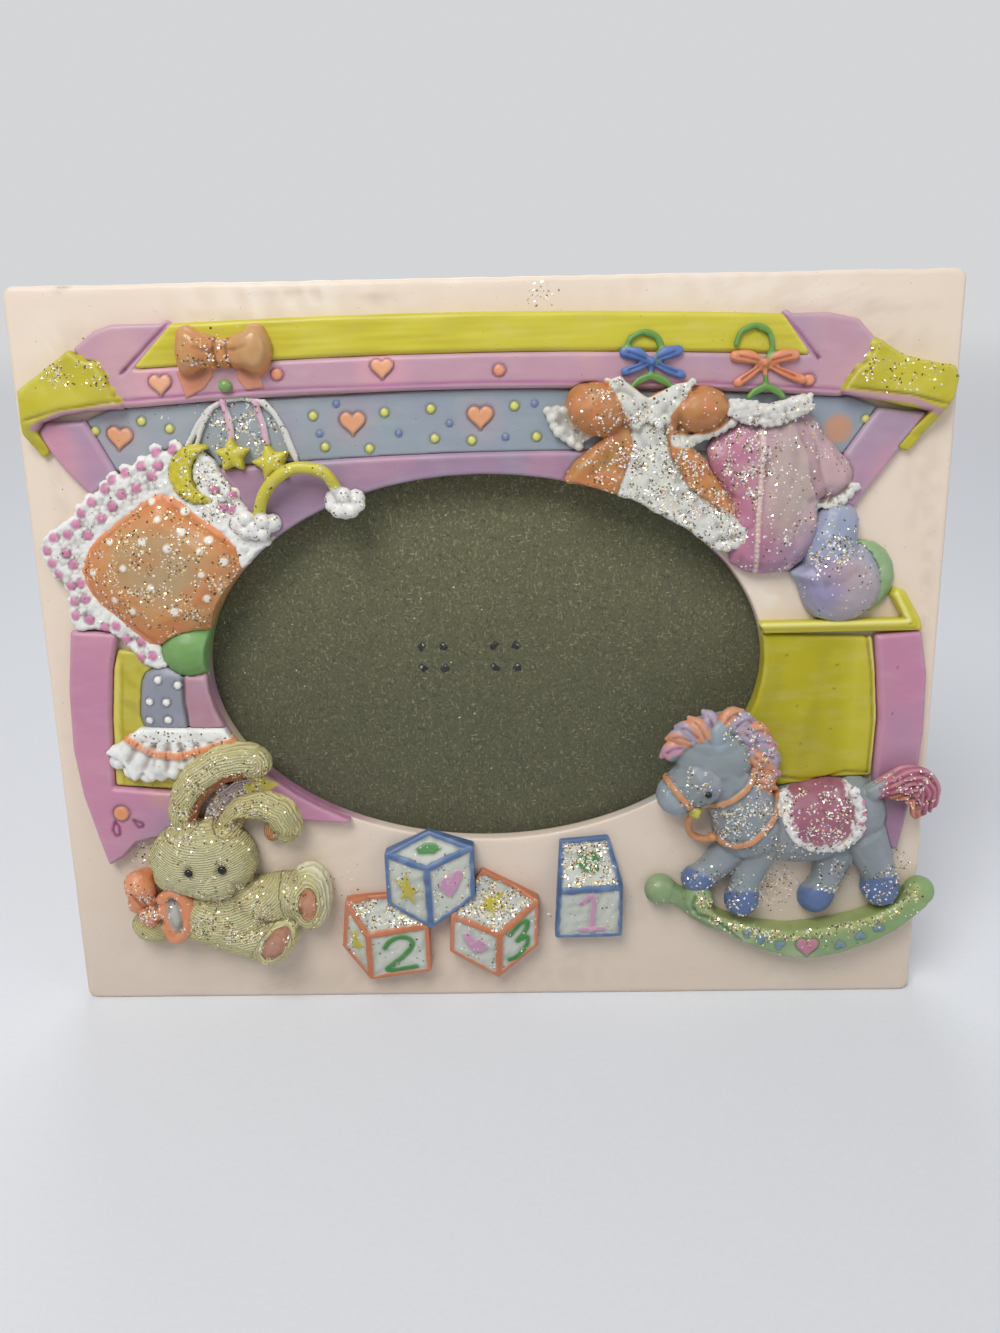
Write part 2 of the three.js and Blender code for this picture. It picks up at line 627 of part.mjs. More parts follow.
    forms: [
      [[39.8, -35.6], [42.5, -31], [45.5, -27.5], [49, -25.6], [53, -25.2], [57, -26], [60, -28.7],
        [62.5, -33], [64.4, -38.5]],
      [[48.5, -26], [49.9, -30], [50.1, -34.5]],
      [[56, -26], [57.5, -31], [58.2, -36]],
    ].map((run) => limb(at(upperLeft, run).map(([x, y]) => [x, y, LINING_HEIGHT + GAP + WIRE_AXIS]),
      Array(run.length).fill(STRING_RADIUS), 5)),
  },
  {
    name: 'ball_left',
    finish: BALL_GREEN,
    opens: true,
    forms: [ball(at(middleLeft, [[36, 5, 0]])[0], [7.2, 7.2, BALL_HEIGHT], 0, 16)],
  },
  {
    name: 'dress',
    finish: ORANGE,
    opens: true,
    floor: LINING_HEIGHT,
    forms: [
      cushion(smooth(at(upperRight, [[-89.5, -30], [-89, -25.5], [-86, -23.4], [-81, -23.7],
        [-76.5, -26], [-74.8, -30], [-76.5, -33.5], [-81, -35.2], [-86, -34.5]]), 18), SLEEVE_HEIGHT),
      cushion(smooth(at(upperRight, [[-66, -31], [-65.5, -27.5], [-62.5, -25], [-58, -24.5],
        [-53.5, -26.5], [-52.7, -30.5], [-55.5, -33.5], [-61, -34.7], [-64.5, -33.5]]), 18),
      SLEEVE_HEIGHT),
      slab(at(upperRight, [[-79, -23.7], [-75, -27], [-71.5, -28], [-68, -27.2], [-62, -24.8],
        [-66, -31], [-63, -37], [-58, -41], [-50.2, -53.5], [-47.8, -56.5], [-49.5, -58.7],
        [-54, -59], [-58, -63], [-78, -54], [-89.6, -44.7], [-87, -40.7], [-81, -36], [-78, -32]]),
      DRESS_HEIGHT, DRESS_EDGE),
    ],
  },
  {
    name: 'gown',
    finish: GOWN_PINK,
    opens: true,
    floor: LINING_HEIGHT,
    forms: [
      cushion(smooth(at(upperRight, [[-51.5, -31], [-56, -35.5], [-57.5, -38.5], [-54, -47],
        [-50, -53], [-50, -60], [-52, -64], [-48, -67.3], [-42, -67.8], [-36.5, -66.7],
        [-32, -62.5], [-30.4, -57], [-30.8, -51], [-23.6, -47], [-23, -43.5], [-26.5, -39],
        [-31, -34.5], [-34.5, -29.7], [-43, -29]]), 30), GOWN_HEIGHT),
      slab(smooth(at(upperRight, [[-52.7, -28.5], [-50, -28], [-44.5, -29.2], [-38, -27.2],
        [-34.8, -27.8], [-35, -30], [-38.5, -32], [-43, -32.4], [-48, -31.4], [-52, -31.5]]), 20),
      GOWN_HEIGHT, TRIM_EDGE),
    ],
  },
  {
    name: 'bootie',
    finish: BOOTIE_BLUE,
    forms: [
      cushion(smooth(at(middleRight, [[-34.2, 16], [-32, 12], [-28, 9.7], [-23, 9.5], [-18.5, 12],
        [-15.8, 16.5], [-15.5, 21], [-17.5, 25.3], [-21, 28], [-26, 27.5], [-31.5, 24.5],
        [-37, 21.5], [-34.5, 18.5]]), 20), BOOTIE_HEIGHT),
      limb(at(middleRight, [[-26.8, 33, 0.6], [-26.5, 24, 0.6]]), [4.6, 5.6]),
    ],
  },
  {
    name: 'ball_right',
    finish: BALL_GREEN,
    forms: [ball(at(middleRight, [[-20.4, 20, 0]])[0], [8.6, 9, HIDDEN_BALL_HEIGHT], 0, 16)],
  },
  {
    name: 'lace_trim',
    finish: LACE_WHITE,
    opens: true,
    floor: PANEL_HEIGHT,
    forms: [slab(at(lowerLeft, [[13.5, 69.3], [19.5, 73], [22.5, 75.3], [42, 75], [52, 74], [50, 68],
      [40, 63], [31, 65], [28, 62.3], [26.5, 64], [24.5, 61.6], [22.5, 64], [20, 61.8],
      [18.4, 65], [17, 67.6]]), TRIM_HEIGHT, TRIM_EDGE)],
  },
  {
    name: 'blanket',
    finish: BLANKET_GREY,
    opens: true,
    forms: [cushion(smooth(at(lowerLeft, [[23, 75], [22.8, 83], [24.5, 89], [30, 91], [38, 89.5],
      [46, 88], [48, 74], [35, 73]]), 20), BLANKET_HEIGHT, BLANKET_FULLNESS)],
  },
  {
    name: 'pillow',
    finish: ORANGE,
    opens: true,
    forms: [cushion(smooth(at(middleLeft, [[13, 24.5], [15.5, 30.5], [23, 36.5], [30.5, 41.5],
      [34, 42.5], [42, 36.5], [50, 30], [50, 19], [41, 9.5], [34, 6.5], [29, 5.5], [20, 13],
      [14.5, 18.5]]), 28), PILLOW_HEIGHT, PILLOW_FULLNESS)],
  },
  {
    name: 'pillow_lace',
    finish: LACE_WHITE,
    opens: true,
    forms: [slab(smooth(at(middleLeft, [[47, 46], [44, 51.5], [36, 52.5], [28, 49], [20, 44.5],
      [15, 40.5], [11, 36.5], [5, 33], [3.5, 30], [4, 26.5], [7, 23.5], [9, 19.5], [8.5, 13.5],
      [10, 10.5], [16, 10.5], [21, 7.5], [25, 2], [30, 0.5], [48, 10], [58, 28], [53, 37]]), 34),
    LACE_HEIGHT)],
  },
  {
    name: 'lid_corner_left',
    finish: YELLOW,
    forms: [slab(at(upperLeft, [[3, -23], [15.5, -14.5], [18, -16.5], [21, -17.2], [22.5, -19.5],
      [24, -24], [26, -26.8], [13, -28], [7, -29.8], [5.4, -32], [7.6, -36.3], [5.8, -37.6],
      [2.7, -32.5]]), CORNER_HEIGHT, THIN_EDGE)],
  },
  {
    name: 'lid_corner_right',
    finish: YELLOW,
    forms: [slab(at(upperRight, [[-20, -15.2], [-14, -19], [-3, -21.2], [-1.8, -23.5], [-2.5, -28],
      [-5, -32], [-8, -35.5], [-11, -39.5], [-13.4, -38.6], [-9, -33.4], [-7, -30.8], [-13, -29.5],
      [-27.5, -26.5], [-26.2, -24], [-24.5, -21.5], [-22, -20], [-21, -17.5]]),
    CORNER_HEIGHT, THIN_EDGE)],
  },
  {
    name: 'lid_top_band',
    finish: YELLOW,
    forms: [slab([
      ...bow(at(upperLeft, [[29, -18.5]])[0], at(upperMiddle, [[0, -16.2]])[0],
        at(upperRight, [[-34.5, -18.2]])[0]),
      ...bow(at(upperRight, [[-41, -9.4]])[0], at(upperMiddle, [[0, -7.8]])[0],
        at(upperLeft, [[38, -9]])[0]),
    ], BAND_HEIGHT)],
  },
  {
    name: 'lid_front_band',
    finish: ORCHID,
    forms: [slab([
      ...at(upperLeft, [[16, -14], [21, -10.3], [25, -9], [37.2, -9]]),
      ...bow(at(upperLeft, [[27.4, -18.8]])[0], at(upperMiddle, [[0, -16.5]])[0],
        at(upperRight, [[-33, -18.4]])[0]),
      ...at(upperRight, [[-40.2, -9.4], [-31, -9.3], [-24.5, -10.7], [-19.5, -16]]),
      ...bow(at(upperRight, [[-26, -27.2]])[0], at(upperMiddle, [[0, -24]])[0],
        at(upperLeft, [[24.5, -27]])[0]),
    ], BAND_HEIGHT)],
  },
  {
    name: 'lid_side_left',
    finish: ORCHID,
    forms: [slab(at(upperLeft, [[5, -32.5], [7.5, -30], [16.5, -29.7], [22.5, -41.5], [21, -45],
      [16, -46.5], [11, -41]]), SIDE_HEIGHT)],
  },
  {
    name: 'lid_side_right',
    finish: ORCHID,
    forms: [slab(at(upperRight, [[-18.5, -29.8], [-7, -31.2], [-13, -39], [-22.8, -52.2],
      [-26, -51.5], [-25.5, -40]]), SIDE_HEIGHT)],
  },
  {
    name: 'lid_hinge_strip',
    finish: ORCHID,
    opens: true,
    forms: [slab([
      ...bow(at(upperLeft, [[44, -41.2]])[0], at(upperMiddle, [[-20, -38.8]])[0],
        at(upperMiddle, [[24, -38.4]])[0]),
      ...at(upperMiddle, [[28, -44]]),
      ...at(windowCentre, [[26, 34], [0, 36], [-38, 28], [-63, 37]]),
    ], SIDE_HEIGHT)],
  },
  {
    name: 'lid_lining',
    finish: LINING_BLUE,
    forms: [slab([
      ...at(upperLeft, [[22, -41.2], [16.5, -29.6], [24, -26.7]]),
      ...at(upperMiddle, [[0, -24]]),
      ...at(upperRight, [[-26, -27], [-18.5, -29.6], [-25.5, -40]]),
      ...at(upperMiddle, [[24, -38.2], [-20, -38.6]]),
    ], LINING_HEIGHT, LINING_EDGE)],
  },
  {
    name: 'chest_post_left',
    finish: ORCHID,
    forms: [slab(at(lowerLeft, [[8, 99.5], [6, 85], [5.3, 70], [6.5, 58], [9.5, 45], [11, 39.2],
      [15, 41.5], [18.5, 45.2], [22.5, 46.2], [28, 46.8], [30, 58.2], [14.1, 59.8], [15.2, 78],
      [16.7, 90], [19, 98.8]]), POST_HEIGHT)],
  },
  {
    name: 'chest_base_strip',
    finish: ORCHID,
    opens: true,
    forms: [slab(at(lowerLeft, [[48, 50], [61, 50.6], [72, 49.8], [73.2, 51.2], [70, 56], [58, 64],
      [46, 62]]), POST_HEIGHT, THIN_EDGE)],
  },
  {
    name: 'chest_panel_left',
    finish: YELLOW,
    opens: true,
    forms: [slab(at(lowerLeft, [[18.5, 94.5], [24, 94], [48, 94], [50, 75], [56, 62], [44, 60],
      [30.5, 59], [14.5, 60.2], [15.6, 78], [17.1, 90]]), PANEL_HEIGHT, THIN_EDGE)],
  },
  {
    name: 'chest_rim_right',
    finish: YELLOW,
    opens: true,
    forms: [slab(at(lowerRight, [[-48, 96.6], [-5.2, 96.9], [-6, 99.5], [-10, 106.2], [-12, 106.9],
      [-12.8, 105.2], [-9.4, 99.6], [-48, 99.1]]), RIM_HEIGHT, THIN_EDGE)],
  },
  {
    name: 'chest_panel_right',
    finish: YELLOW,
    opens: true,
    forms: [slab(at(lowerRight, [[-48, 96.2], [-16.5, 95.2], [-15.3, 88], [-14, 75], [-14.5, 60.3],
      [-25, 60], [-28, 58.5], [-37, 58], [-50, 66]]), PANEL_HEIGHT, THIN_EDGE)],
  },
  {
    name: 'chest_post_right',
    finish: ORCHID,
    forms: [slab(at(lowerRight, [[-15.8, 95.6], [-5.2, 96.5], [-3.2, 86], [-2.8, 72], [-3.5, 60],
      [-7, 41], [-12.5, 41.5], [-13.8, 60], [-13.5, 75], [-14.8, 88]]), POST_HEIGHT)],
  },
];

// Everything in front of a height, for cutting a form off flat.
function inFrontOf(height) {
  const depth = PLATE_HEIGHT;
  return box(2 * PLATE_WIDTH, 3 * PLATE_HEIGHT, depth, 0, 0, height + depth / 2);
}

function join(forms, grow) {
  return forms.map((form) => form(grow)).reduce((sum, solid) => sum.add(solid));
}

const windowOutline = vectors(oval(windowWidth, windowHeight, windowX, windowY, WINDOW_SEGMENTS));

// Each casting is cut off flat at its back, at the window's edge and round what lies before it.
function makeCastings() {
  const opening = flat(new THREE.Shape(windowOutline), -PAST, PLATE_HEIGHT);
  const before = [];
  return castings.map(({ name, finish, forms, floor = 0, opens = false }) => {
    let solid = join(forms, 0).intersect(inFrontOf(floor + GAP));
    if (opens) solid = solid.subtract(opening);
    for (const cutter of before) solid = solid.subtract(cutter);
    before.push(join(forms, GAP).intersect(inFrontOf(floor + GAP / 2)));
    return meshOf(name, largest(solid), finish);
  });
}

// The plate: window, rabbet, screw holes and the face that it stands on.
const screwPlaces = [[-1, 1], [1, 1], [1, -1], [-1, -1]].map(([sideX, sideY]) => ({
  x: windowX + sideX * BUTTON_SPREAD / 2,
  y: windowY + sideY * (rabbetHeight / 2 + SCREW_FROM_RABBET),
  down: sideY > 0,
}));

function makePlate() {
  const shape = roundedRectangle(PLATE_WIDTH, PLATE_HEIGHT, 0, PLATE_HEIGHT / 2, PLATE_CORNER);
  shape.holes.push(new THREE.Path(windowOutline));
  const rabbet = roundedRectangle(rabbetWidth, rabbetHeight, windowX, windowY, RABBET_CORNER);
  let plate = flat(shape, plateBack, 0, PLATE_EDGE)
    .subtract(flat(rabbet, plateBack - PAST, -LIP_THICKNESS, 0, 2))
    .subtract(belowTable(lean, 0));
  for (const { x, y } of screwPlaces) {
    plate = plate.subtract(rod(SCREW_RADIUS + GAP, plateBack - PAST, screwTip + GAP, x, y, 12));
  }
  return meshOf('frame_plate', plate, CREAM);
}

// The turn buttons on the plate's back, each over the board's edge.
const buttonFront = plateBack - GAP;
const buttonBack = buttonFront - BUTTON_THICKNESS;
const screwTip = buttonBack - GAP + SCREW_LENGTH;

function makeButton(number, { x, y, down }) {
  const shape = new THREE.Shape();
  const end = BUTTON_WIDTH / 2;
  const turn = down ? Math.PI : 0;
  shape.absarc(0, 0, end, Math.PI, 2 * Math.PI);
  shape.absarc(0, BUTTON_REACH - end, end, 0, Math.PI);
  shape.holes.push(new THREE.Path().absarc(0, 0, SCREW_RADIUS + GAP, 0, 2 * Math.PI, true));
  const geometry = new THREE.ExtrudeGeometry(shape, {
    depth: BUTTON_THICKNESS,
    bevelEnabled: false,
    curveSegments: 5,
  });
  const button = solidOf(geometry.rotateZ(turn).translate(x, y, buttonBack));
  return meshOf(`turn_button_${number}`, button, BRASSED);
}

function makeScrew(number, { x, y }) {
  const seat = buttonBack - GAP;
  const dome = new THREE.EllipseCurve(0, 0, SCREW_HEAD_RADIUS, SCREW_HEAD_HEIGHT, -Math.PI / 2, 0);
  const shank = vectors([[SCREW_RADIUS, 0], [SCREW_RADIUS, SCREW_LENGTH], [0, SCREW_LENGTH]]);
  const profile = [new THREE.Vector2(0, -SCREW_HEAD_HEIGHT), ...dome.getPoints(3).slice(1), ...shank];
  const geometry = new THREE.LatheGeometry(profile, 10);
  const slot = box(2 * SCREW_HEAD_RADIUS, SCREW_SLOT, SCREW_SLOT, x, y, seat - SCREW_HEAD_HEIGHT);
  const screw = solidOf(geometry.rotateX(Math.PI / 2).translate(x, y, seat)).subtract(slot);
  return meshOf(`turn_button_screw_${number}`, screw, STEEL);
}

// The pane, the board and its velour, with slots where the rivets' prongs go through.
const rivetXs = [-1, 1].map((side) => hingeX + side * RIVET_SPACING / 2);
const leafFront = velourBack - GAP;
const leafBack = leafFront - LEAF_THICKNESS;
const rivetFront = leafBack - GAP;

function prongs(x, zLow, zHigh, clearance) {
  return [0, 1, 2, 3].map((quarter) => {
    const width = PRONG_WIDTH + 2 * clearance;
    const thickness = PRONG_THICKNESS + 2 * clearance;
    const geometry = new THREE.BoxGeometry(thickness, width, zHigh - zLow);
    geometry.translate(PRONG_CIRCLE_RADIUS, 0, (zLow + zHigh) / 2);
    geometry.rotateZ(Math.PI / 4 + quarter * Math.PI / 2).translate(x, rivetY, 0);
    return solidOf(geometry);
  }).reduce((sum, solid) => sum.add(solid));
}

function prongSlots() {
  return rivetXs.map((x) => prongs(x, rivetFront - PAST, PAST, GAP))
    .reduce((sum, solid) => sum.add(solid));
}

function makeBacking() {
  const slots = prongSlots();
  const sheet = (front, thickness) => box(PRINT_WIDTH, PRINT_HEIGHT, thickness, windowX, windowY,
    front - thickness / 2);
  return [
    meshOf('glass_pane', sheet(glassFront, GLASS_THICKNESS), GLASS),
    meshOf('backing_board', sheet(boardFront, BOARD_THICKNESS).subtract(slots), CHIPBOARD),
    meshOf('velour_backing', sheet(velourFront, VELOUR_THICKNESS).subtract(slots), VELOUR),
  ];
}

// The hinge's fixed half: a leaf riveted to the board, with one knuckle round the pin.
function makeBoardLeaf() {
  const leaf = box(LEAF_WIDTH, LEAF_LENGTH, LEAF_THICKNESS, hingeX,
    pinY - LEAF_LENGTH / 2 + knuckleRadius, (leafFront + leafBack) / 2);
  const web = box(KNUCKLE_WIDTH, 2 * KNUCKLE_WALL, leafFront - pinZ, hingeX,
    pinY + knuckleRadius - KNUCKLE_WALL, (leafFront + pinZ) / 2);
  const bore = crossRod(PIN_RADIUS + GAP, LEAF_WIDTH, hingeX, pinY, pinZ);
  const solid = leaf.add(web)
    .add(crossRod(knuckleRadius, KNUCKLE_WIDTH, hingeX, pinY, pinZ))
    .subtract(bore)
    .subtract(prongSlots());
  return meshOf('hinge_leaf_board', solid, STEEL);
}

function makeBoardRivet(name, x) {
  const head = rod(RIVET_HEAD_RADIUS, rivetFront - RIVET_HEAD_THICKNESS, rivetFront, x,
    rivetY);
  const tips = prongs(x, rivetFront - RIVET_HEAD_THICKNESS / 2, boardFront - PRONG_RECESS, 0);
  return meshOf(name, head.add(tips), BRASSED);
}

// The leg hangs from the pin. It is drawn as it lies when folded, with the pin at the origin.
const legTop = -knuckleRadius - GAP;
const legLeafFront = -LEG_THICKNESS - GAP;
const legLeafBack = legLeafFront - LEAF_THICKNESS;
const legRivetXs = [-1, 1].map((side) => side * RIVET_SPACING / 2);
const legRivetY = -RIVET_BELOW_PIN;

function makeLeg() {
  const length = pinAboveTable / Math.cos(legOpening - lean) + LEG_THICKNESS;
  const outline = [[-LEG_TOP_WIDTH / 2, legTop], [-LEG_FOOT_WIDTH / 2, -length],
    [LEG_FOOT_WIDTH / 2, -length], [LEG_TOP_WIDTH / 2, legTop]];
  let solid = flat(new THREE.Shape(vectors(outline)), -LEG_THICKNESS, 0)
    .subtract(belowTable(lean - legOpening, -pinAboveTable));
  for (const x of legRivetXs) {
    solid = solid.subtract(rod(LEG_RIVET_RADIUS + GAP, -2 * LEG_THICKNESS, PAST, x, legRivetY, 14));
  }
  return meshOf('easel_leg', solid, VELOUR);
}

function makeLegLeaf() {
  const leaf = box(LEAF_WIDTH, LEAF_LENGTH, LEAF_THICKNESS, 0, knuckleRadius - LEAF_LENGTH / 2,
    (legLeafFront + legLeafBack) / 2);
  const knuckleX = KNUCKLE_WIDTH / 2 + GAP;
  const knuckleWidth = LEAF_WIDTH / 2 - knuckleX;
  let solid = leaf;
  for (const side of [-1, 1]) {
    const x = side * (knuckleX + knuckleWidth / 2);
    const web = box(knuckleWidth, 2 * KNUCKLE_WALL, -legLeafBack, x, knuckleRadius - KNUCKLE_WALL,
      legLeafBack / 2);
    solid = solid.add(web).add(crossRod(knuckleRadius, knuckleWidth, x, 0, 0));
  }
  solid = solid.subtract(crossRod(PIN_RADIUS + GAP, LEAF_WIDTH + 2 * PAST, 0, 0, 0));
  for (const x of legRivetXs) {
    solid = solid.subtract(rod(LEG_RIVET_RADIUS + GAP, 2 * legLeafBack, PAST, x, legRivetY, 14));
  }
  return meshOf('hinge_leaf_leg', solid, STEEL);
}

function makeLegRivet(name, x) {
  const seat = legLeafBack - GAP;
  const head = rod(LEG_RIVET_HEAD_RADIUS, seat - RIVET_HEAD_THICKNESS, seat, x, legRivetY, 16);
  const shank = rod(LEG_RIVET_RADIUS, seat - RIVET_HEAD_THICKNESS / 2, -PRONG_RECESS, x, legRivetY,
    14);
  return meshOf(name, head.add(shank), BRASSED);
}

function makePin() {
  const pin = crossRod(PIN_RADIUS, LEAF_WIDTH, hingeX, pinY, pinZ, 12);
  return meshOf('hinge_pin', pin, STEEL);
}

// The face group has x to the right, y up the plate and z out of its front.
const face = new THREE.Group();
face.rotation.x = Math.PI / 2 - lean;
face.add(makePlate(), ...makeBacking(), makeBoardLeaf(), makePin());
face.add(makeBoardRivet('board_rivet_left', rivetXs[0]));
face.add(makeBoardRivet('board_rivet_right', rivetXs[1]));
screwPlaces.forEach((place, i) => face.add(makeButton(i + 1, place), makeScrew(i + 1, place)));
face.add(...makeCastings());

const leg = new THREE.Group();
leg.position.set(hingeX, pinY, pinZ);
leg.rotation.x = legOpening;
leg.add(makeLeg(), makeLegLeaf());
leg.add(makeLegRivet('leg_rivet_left', legRivetXs[0]));
leg.add(makeLegRivet('leg_rivet_right', legRivetXs[1]));
face.add(leg);

// The origin is on the table, in the middle of the face that the plate stands on.
const frame = new THREE.Group();
frame.name = 'nursery_picture_frame';
face.position.y = plateBack / Math.cos(lean) / 2;
frame.add(face);

export default frame;
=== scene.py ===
"""A nursery picture frame in cast and painted resin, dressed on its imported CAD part, in metres."""
import math

import bmesh
import bpy
import numpy as np
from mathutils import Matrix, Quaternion, Vector


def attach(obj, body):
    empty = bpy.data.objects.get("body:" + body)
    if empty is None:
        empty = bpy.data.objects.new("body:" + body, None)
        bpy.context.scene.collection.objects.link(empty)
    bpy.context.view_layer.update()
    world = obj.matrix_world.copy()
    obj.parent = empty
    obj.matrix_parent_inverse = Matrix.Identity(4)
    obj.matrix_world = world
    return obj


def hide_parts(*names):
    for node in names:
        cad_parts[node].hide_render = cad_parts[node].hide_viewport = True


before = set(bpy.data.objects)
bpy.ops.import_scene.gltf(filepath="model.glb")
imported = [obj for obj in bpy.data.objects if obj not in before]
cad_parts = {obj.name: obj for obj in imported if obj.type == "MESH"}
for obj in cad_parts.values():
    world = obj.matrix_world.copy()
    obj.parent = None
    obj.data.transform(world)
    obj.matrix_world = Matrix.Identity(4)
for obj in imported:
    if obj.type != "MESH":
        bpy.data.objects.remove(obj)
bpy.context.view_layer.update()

# Camera, lamps and a pale paper floor: a soft studio for an object about 200 mm across, seen
# from in front and above. The floor fades into the pale surroundings all round.
scene = bpy.context.scene
scene.view_settings.view_transform = "Standard"

PICTURE_HEIGHT = 1333
FOCAL_PIXELS = 1000
SENSOR = 36
CAMERA_PLACE, CAMERA_ROLL = (0.006007, -0.202494, 0.193688), math.radians(1.236)
LAMP_AIM = Vector((0, 0, 0.09))
ahead = Vector((-0.01387, 0.89723, -0.44134))
camera = bpy.data.objects.new("camera", bpy.data.cameras.new("camera"))
camera.data.sensor_width = SENSOR
camera.data.lens = SENSOR * FOCAL_PIXELS / PICTURE_HEIGHT
camera.data.clip_start = 0.01
camera.location = CAMERA_PLACE
camera.rotation_mode = "QUATERNION"
camera.rotation_quaternion = Quaternion(ahead, CAMERA_ROLL) @ ahead.to_track_quat("-Z", "Y")
scene.collection.objects.link(camera)
scene.camera = camera


def lamp(name, place, size, power, tone):
    """A square soft lamp that faces the middle of the object."""
    light = bpy.data.lights.new(name, "AREA")
    light.size, light.energy, light.color = size, power, tone
    fitting = bpy.data.objects.new(name, light)
    fitting.location = place
    fitting.rotation_euler = (LAMP_AIM - Vector(place)).to_track_quat("-Z", "Y").to_euler()
    scene.collection.objects.link(fitting)


lamp("key_lamp", (-0.22, -0.36, 0.8), 0.42, 5, (1, 0.985, 0.955))
lamp("side_lamp", (0.8, -0.35, 0.5), 0.6, 1.5, (0.98, 0.985, 1))
lamp("back_lamp", (-0.1, 0.8, 0.7), 0.6, 2.6, (0.98, 0.99, 1))

SKY_TONE, SKY_LIGHT, SKY_SEEN = (0.97, 0.98, 1, 1), 0.3, 0.68
world = bpy.data.worlds.new("studio")
world.use_nodes = True
sky = world.node_tree.nodes["Background"]
backdrop = world.node_tree.nodes.new("ShaderNodeBackground")
for glow, strength in ((sky, SKY_LIGHT), (backdrop, SKY_SEEN)):
    glow.inputs["Color"].default_value = SKY_TONE
    glow.inputs["Strength"].default_value = strength
paths = world.node_tree.nodes.new("ShaderNodeLightPath")
seen = paths.outputs["Is Camera Ray"]
for ray in ("Is Glossy Ray", "Is Transmission Ray"):
    either = world.node_tree.nodes.new("ShaderNodeMath")
    either.operation = "MAXIMUM"
    world.node_tree.links.new(seen, either.inputs[0])
    world.node_tree.links.new(paths.outputs[ray], either.inputs[1])
    seen = either.outputs[0]
chosen = world.node_tree.nodes.new("ShaderNodeMixShader")
for socket, place in ((seen, 0), (sky.outputs[0], 1), (backdrop.outputs[0], 2)):
    world.node_tree.links.new(socket, chosen.inputs[place])
world.node_tree.links.new(chosen.outputs[0], world.node_tree.nodes["World Output"].inputs["Surface"])
scene.world = world


class Wire:
    """A shader socket that can be reckoned with, as plain numbers are."""

    def __init__(self, finish, socket):
        self.finish, self.socket = finish, socket

    def reckon(self, operation, *values):
        return self.finish.node("ShaderNodeMath", {"operation": operation}, dict(enumerate(values)))

    def __add__(self, other):
        return self.reckon("ADD", self, other)

    def __sub__(self, other):
        return self.reckon("SUBTRACT", self, other)

    def __rsub__(self, other):
        return self.reckon("SUBTRACT", other, self)

    def __mul__(self, other):
        return self.reckon("MULTIPLY", self, other)

    __radd__ = __add__
    __rmul__ = __mul__

    def above(self, level, softness=0.05):
        """0 under a level and 1 over it, with a soft step between."""
        return self.finish.node("ShaderNodeMapRange", {"interpolation_type": "SMOOTHSTEP"},
                                {0: self, 1: level - softness, 2: level + softness})


class Finish:
    """A surface finish, built up node by node."""

    def __init__(self, name, **constants):
        self.material = bpy.data.materials.new(name)
        self.material.use_nodes = True
        self.tree = self.material.node_tree
        self.surface = self.tree.nodes["Principled BSDF"]
        self.place = self.node("ShaderNodeTexCoord", output="Object")
        self.set(**{key.replace("_", " "): value for key, value in constants.items()})

    def node(self, kind, settings=None, inputs=None, output=0):
        """Any node: its settings come first, then the values or links of its sockets."""
        made = self.tree.nodes.new(kind)
        for key, value in (settings or {}).items():
            setattr(made, key, value)
        for key, value in (inputs or {}).items():
            self.join(made.inputs[key], value)
        return Wire(self, made.outputs[output])

    def join(self, socket, value):
        if isinstance(value, Wire):
            self.tree.links.new(value.socket, socket)
        else:
            socket.default_value = value

    def set(self, **values):
        for key, value in values.items():
            self.join(self.surface.inputs[key], value)

    def noise(self, scale, detail, stretch=None, place=None):
        """Uneven values over the piece, drawn out along its axes where they are stretched."""
        place = place or self.place
        if stretch:
            place = self.node("ShaderNodeMapping", None, {"Vector": place, "Scale": stretch})
        return self.node("ShaderNodeTexNoise", None,
                         {"Vector": place, "Scale": scale, "Detail": detail})

    def mix(self, share, first, second):
        return self.node("ShaderNodeMix", {"data_type": "RGBA"}, {0: share, 6: first, 7: second}, 2)

    def scaled(self, colour, level):
        return self.node("ShaderNodeVectorMath", {"operation": "SCALE"}, {0: colour, "Scale": level})

    def bumps(self, height, distance, strength):
        """Fine relief in the shading alone."""
        bump = self.node("ShaderNodeBump", None, {"Height": height, "Distance": distance,
                                                  "Strength": strength})
        self.set(Normal=bump)


def tint(text):
    """The red, green and blue of a hex colour, as it looks on a screen."""
    return np.array([int(text[i:i + 2], 16) / 255 for i in (1, 3, 5)])


def linear(colours):
    """Screen colours as amounts of light."""
    colours = np.clip(colours, 0, 1)
    return np.where(colours <= 0.04045, colours / 12.92, ((colours + 0.055) / 1.055) ** 2.4)


def shade(text):
    """A hex colour for a shader's socket."""
    return (*linear(tint(text)), 1)


paper = Finish("pale_paper", Roughness=0.9)
grain = paper.noise(900, 2)
paper.set(**{"Base Color": paper.scaled(shade("#dde0e6")[:3], 0.97 + 0.06 * grain)})
paper.bumps(grain, 0.0002, 0.3)

FLOOR_HALF, FADE_MIDDLE, FADE_REACH = 1.6, 0.85, 0.55
away = paper.node("ShaderNodeVectorMath", {"operation": "LENGTH"}, {0: paper.place}, "Value")
fading = paper.node("ShaderNodeMixShader", None, {
    0: away.above(FADE_MIDDLE, FADE_REACH), 1: Wire(paper, paper.surface.outputs[0]),
    2: paper.node("ShaderNodeBsdfTransparent")})
paper.join(paper.tree.nodes["Material Output"].inputs["Surface"], fading)
floor_mesh = bpy.data.meshes.new("paper_floor")
floor_corners = [(x * FLOOR_HALF, y * FLOOR_HALF, 0) for x, y in ((-1, -1), (1, -1), (1, 1), (-1, 1))]
floor_mesh.from_pydata(floor_corners, [], [(0, 1, 2, 3)])
floor_mesh.materials.append(paper.material)
floor = bpy.data.objects.new("paper_floor", floor_mesh)
scene.collection.objects.link(floor)

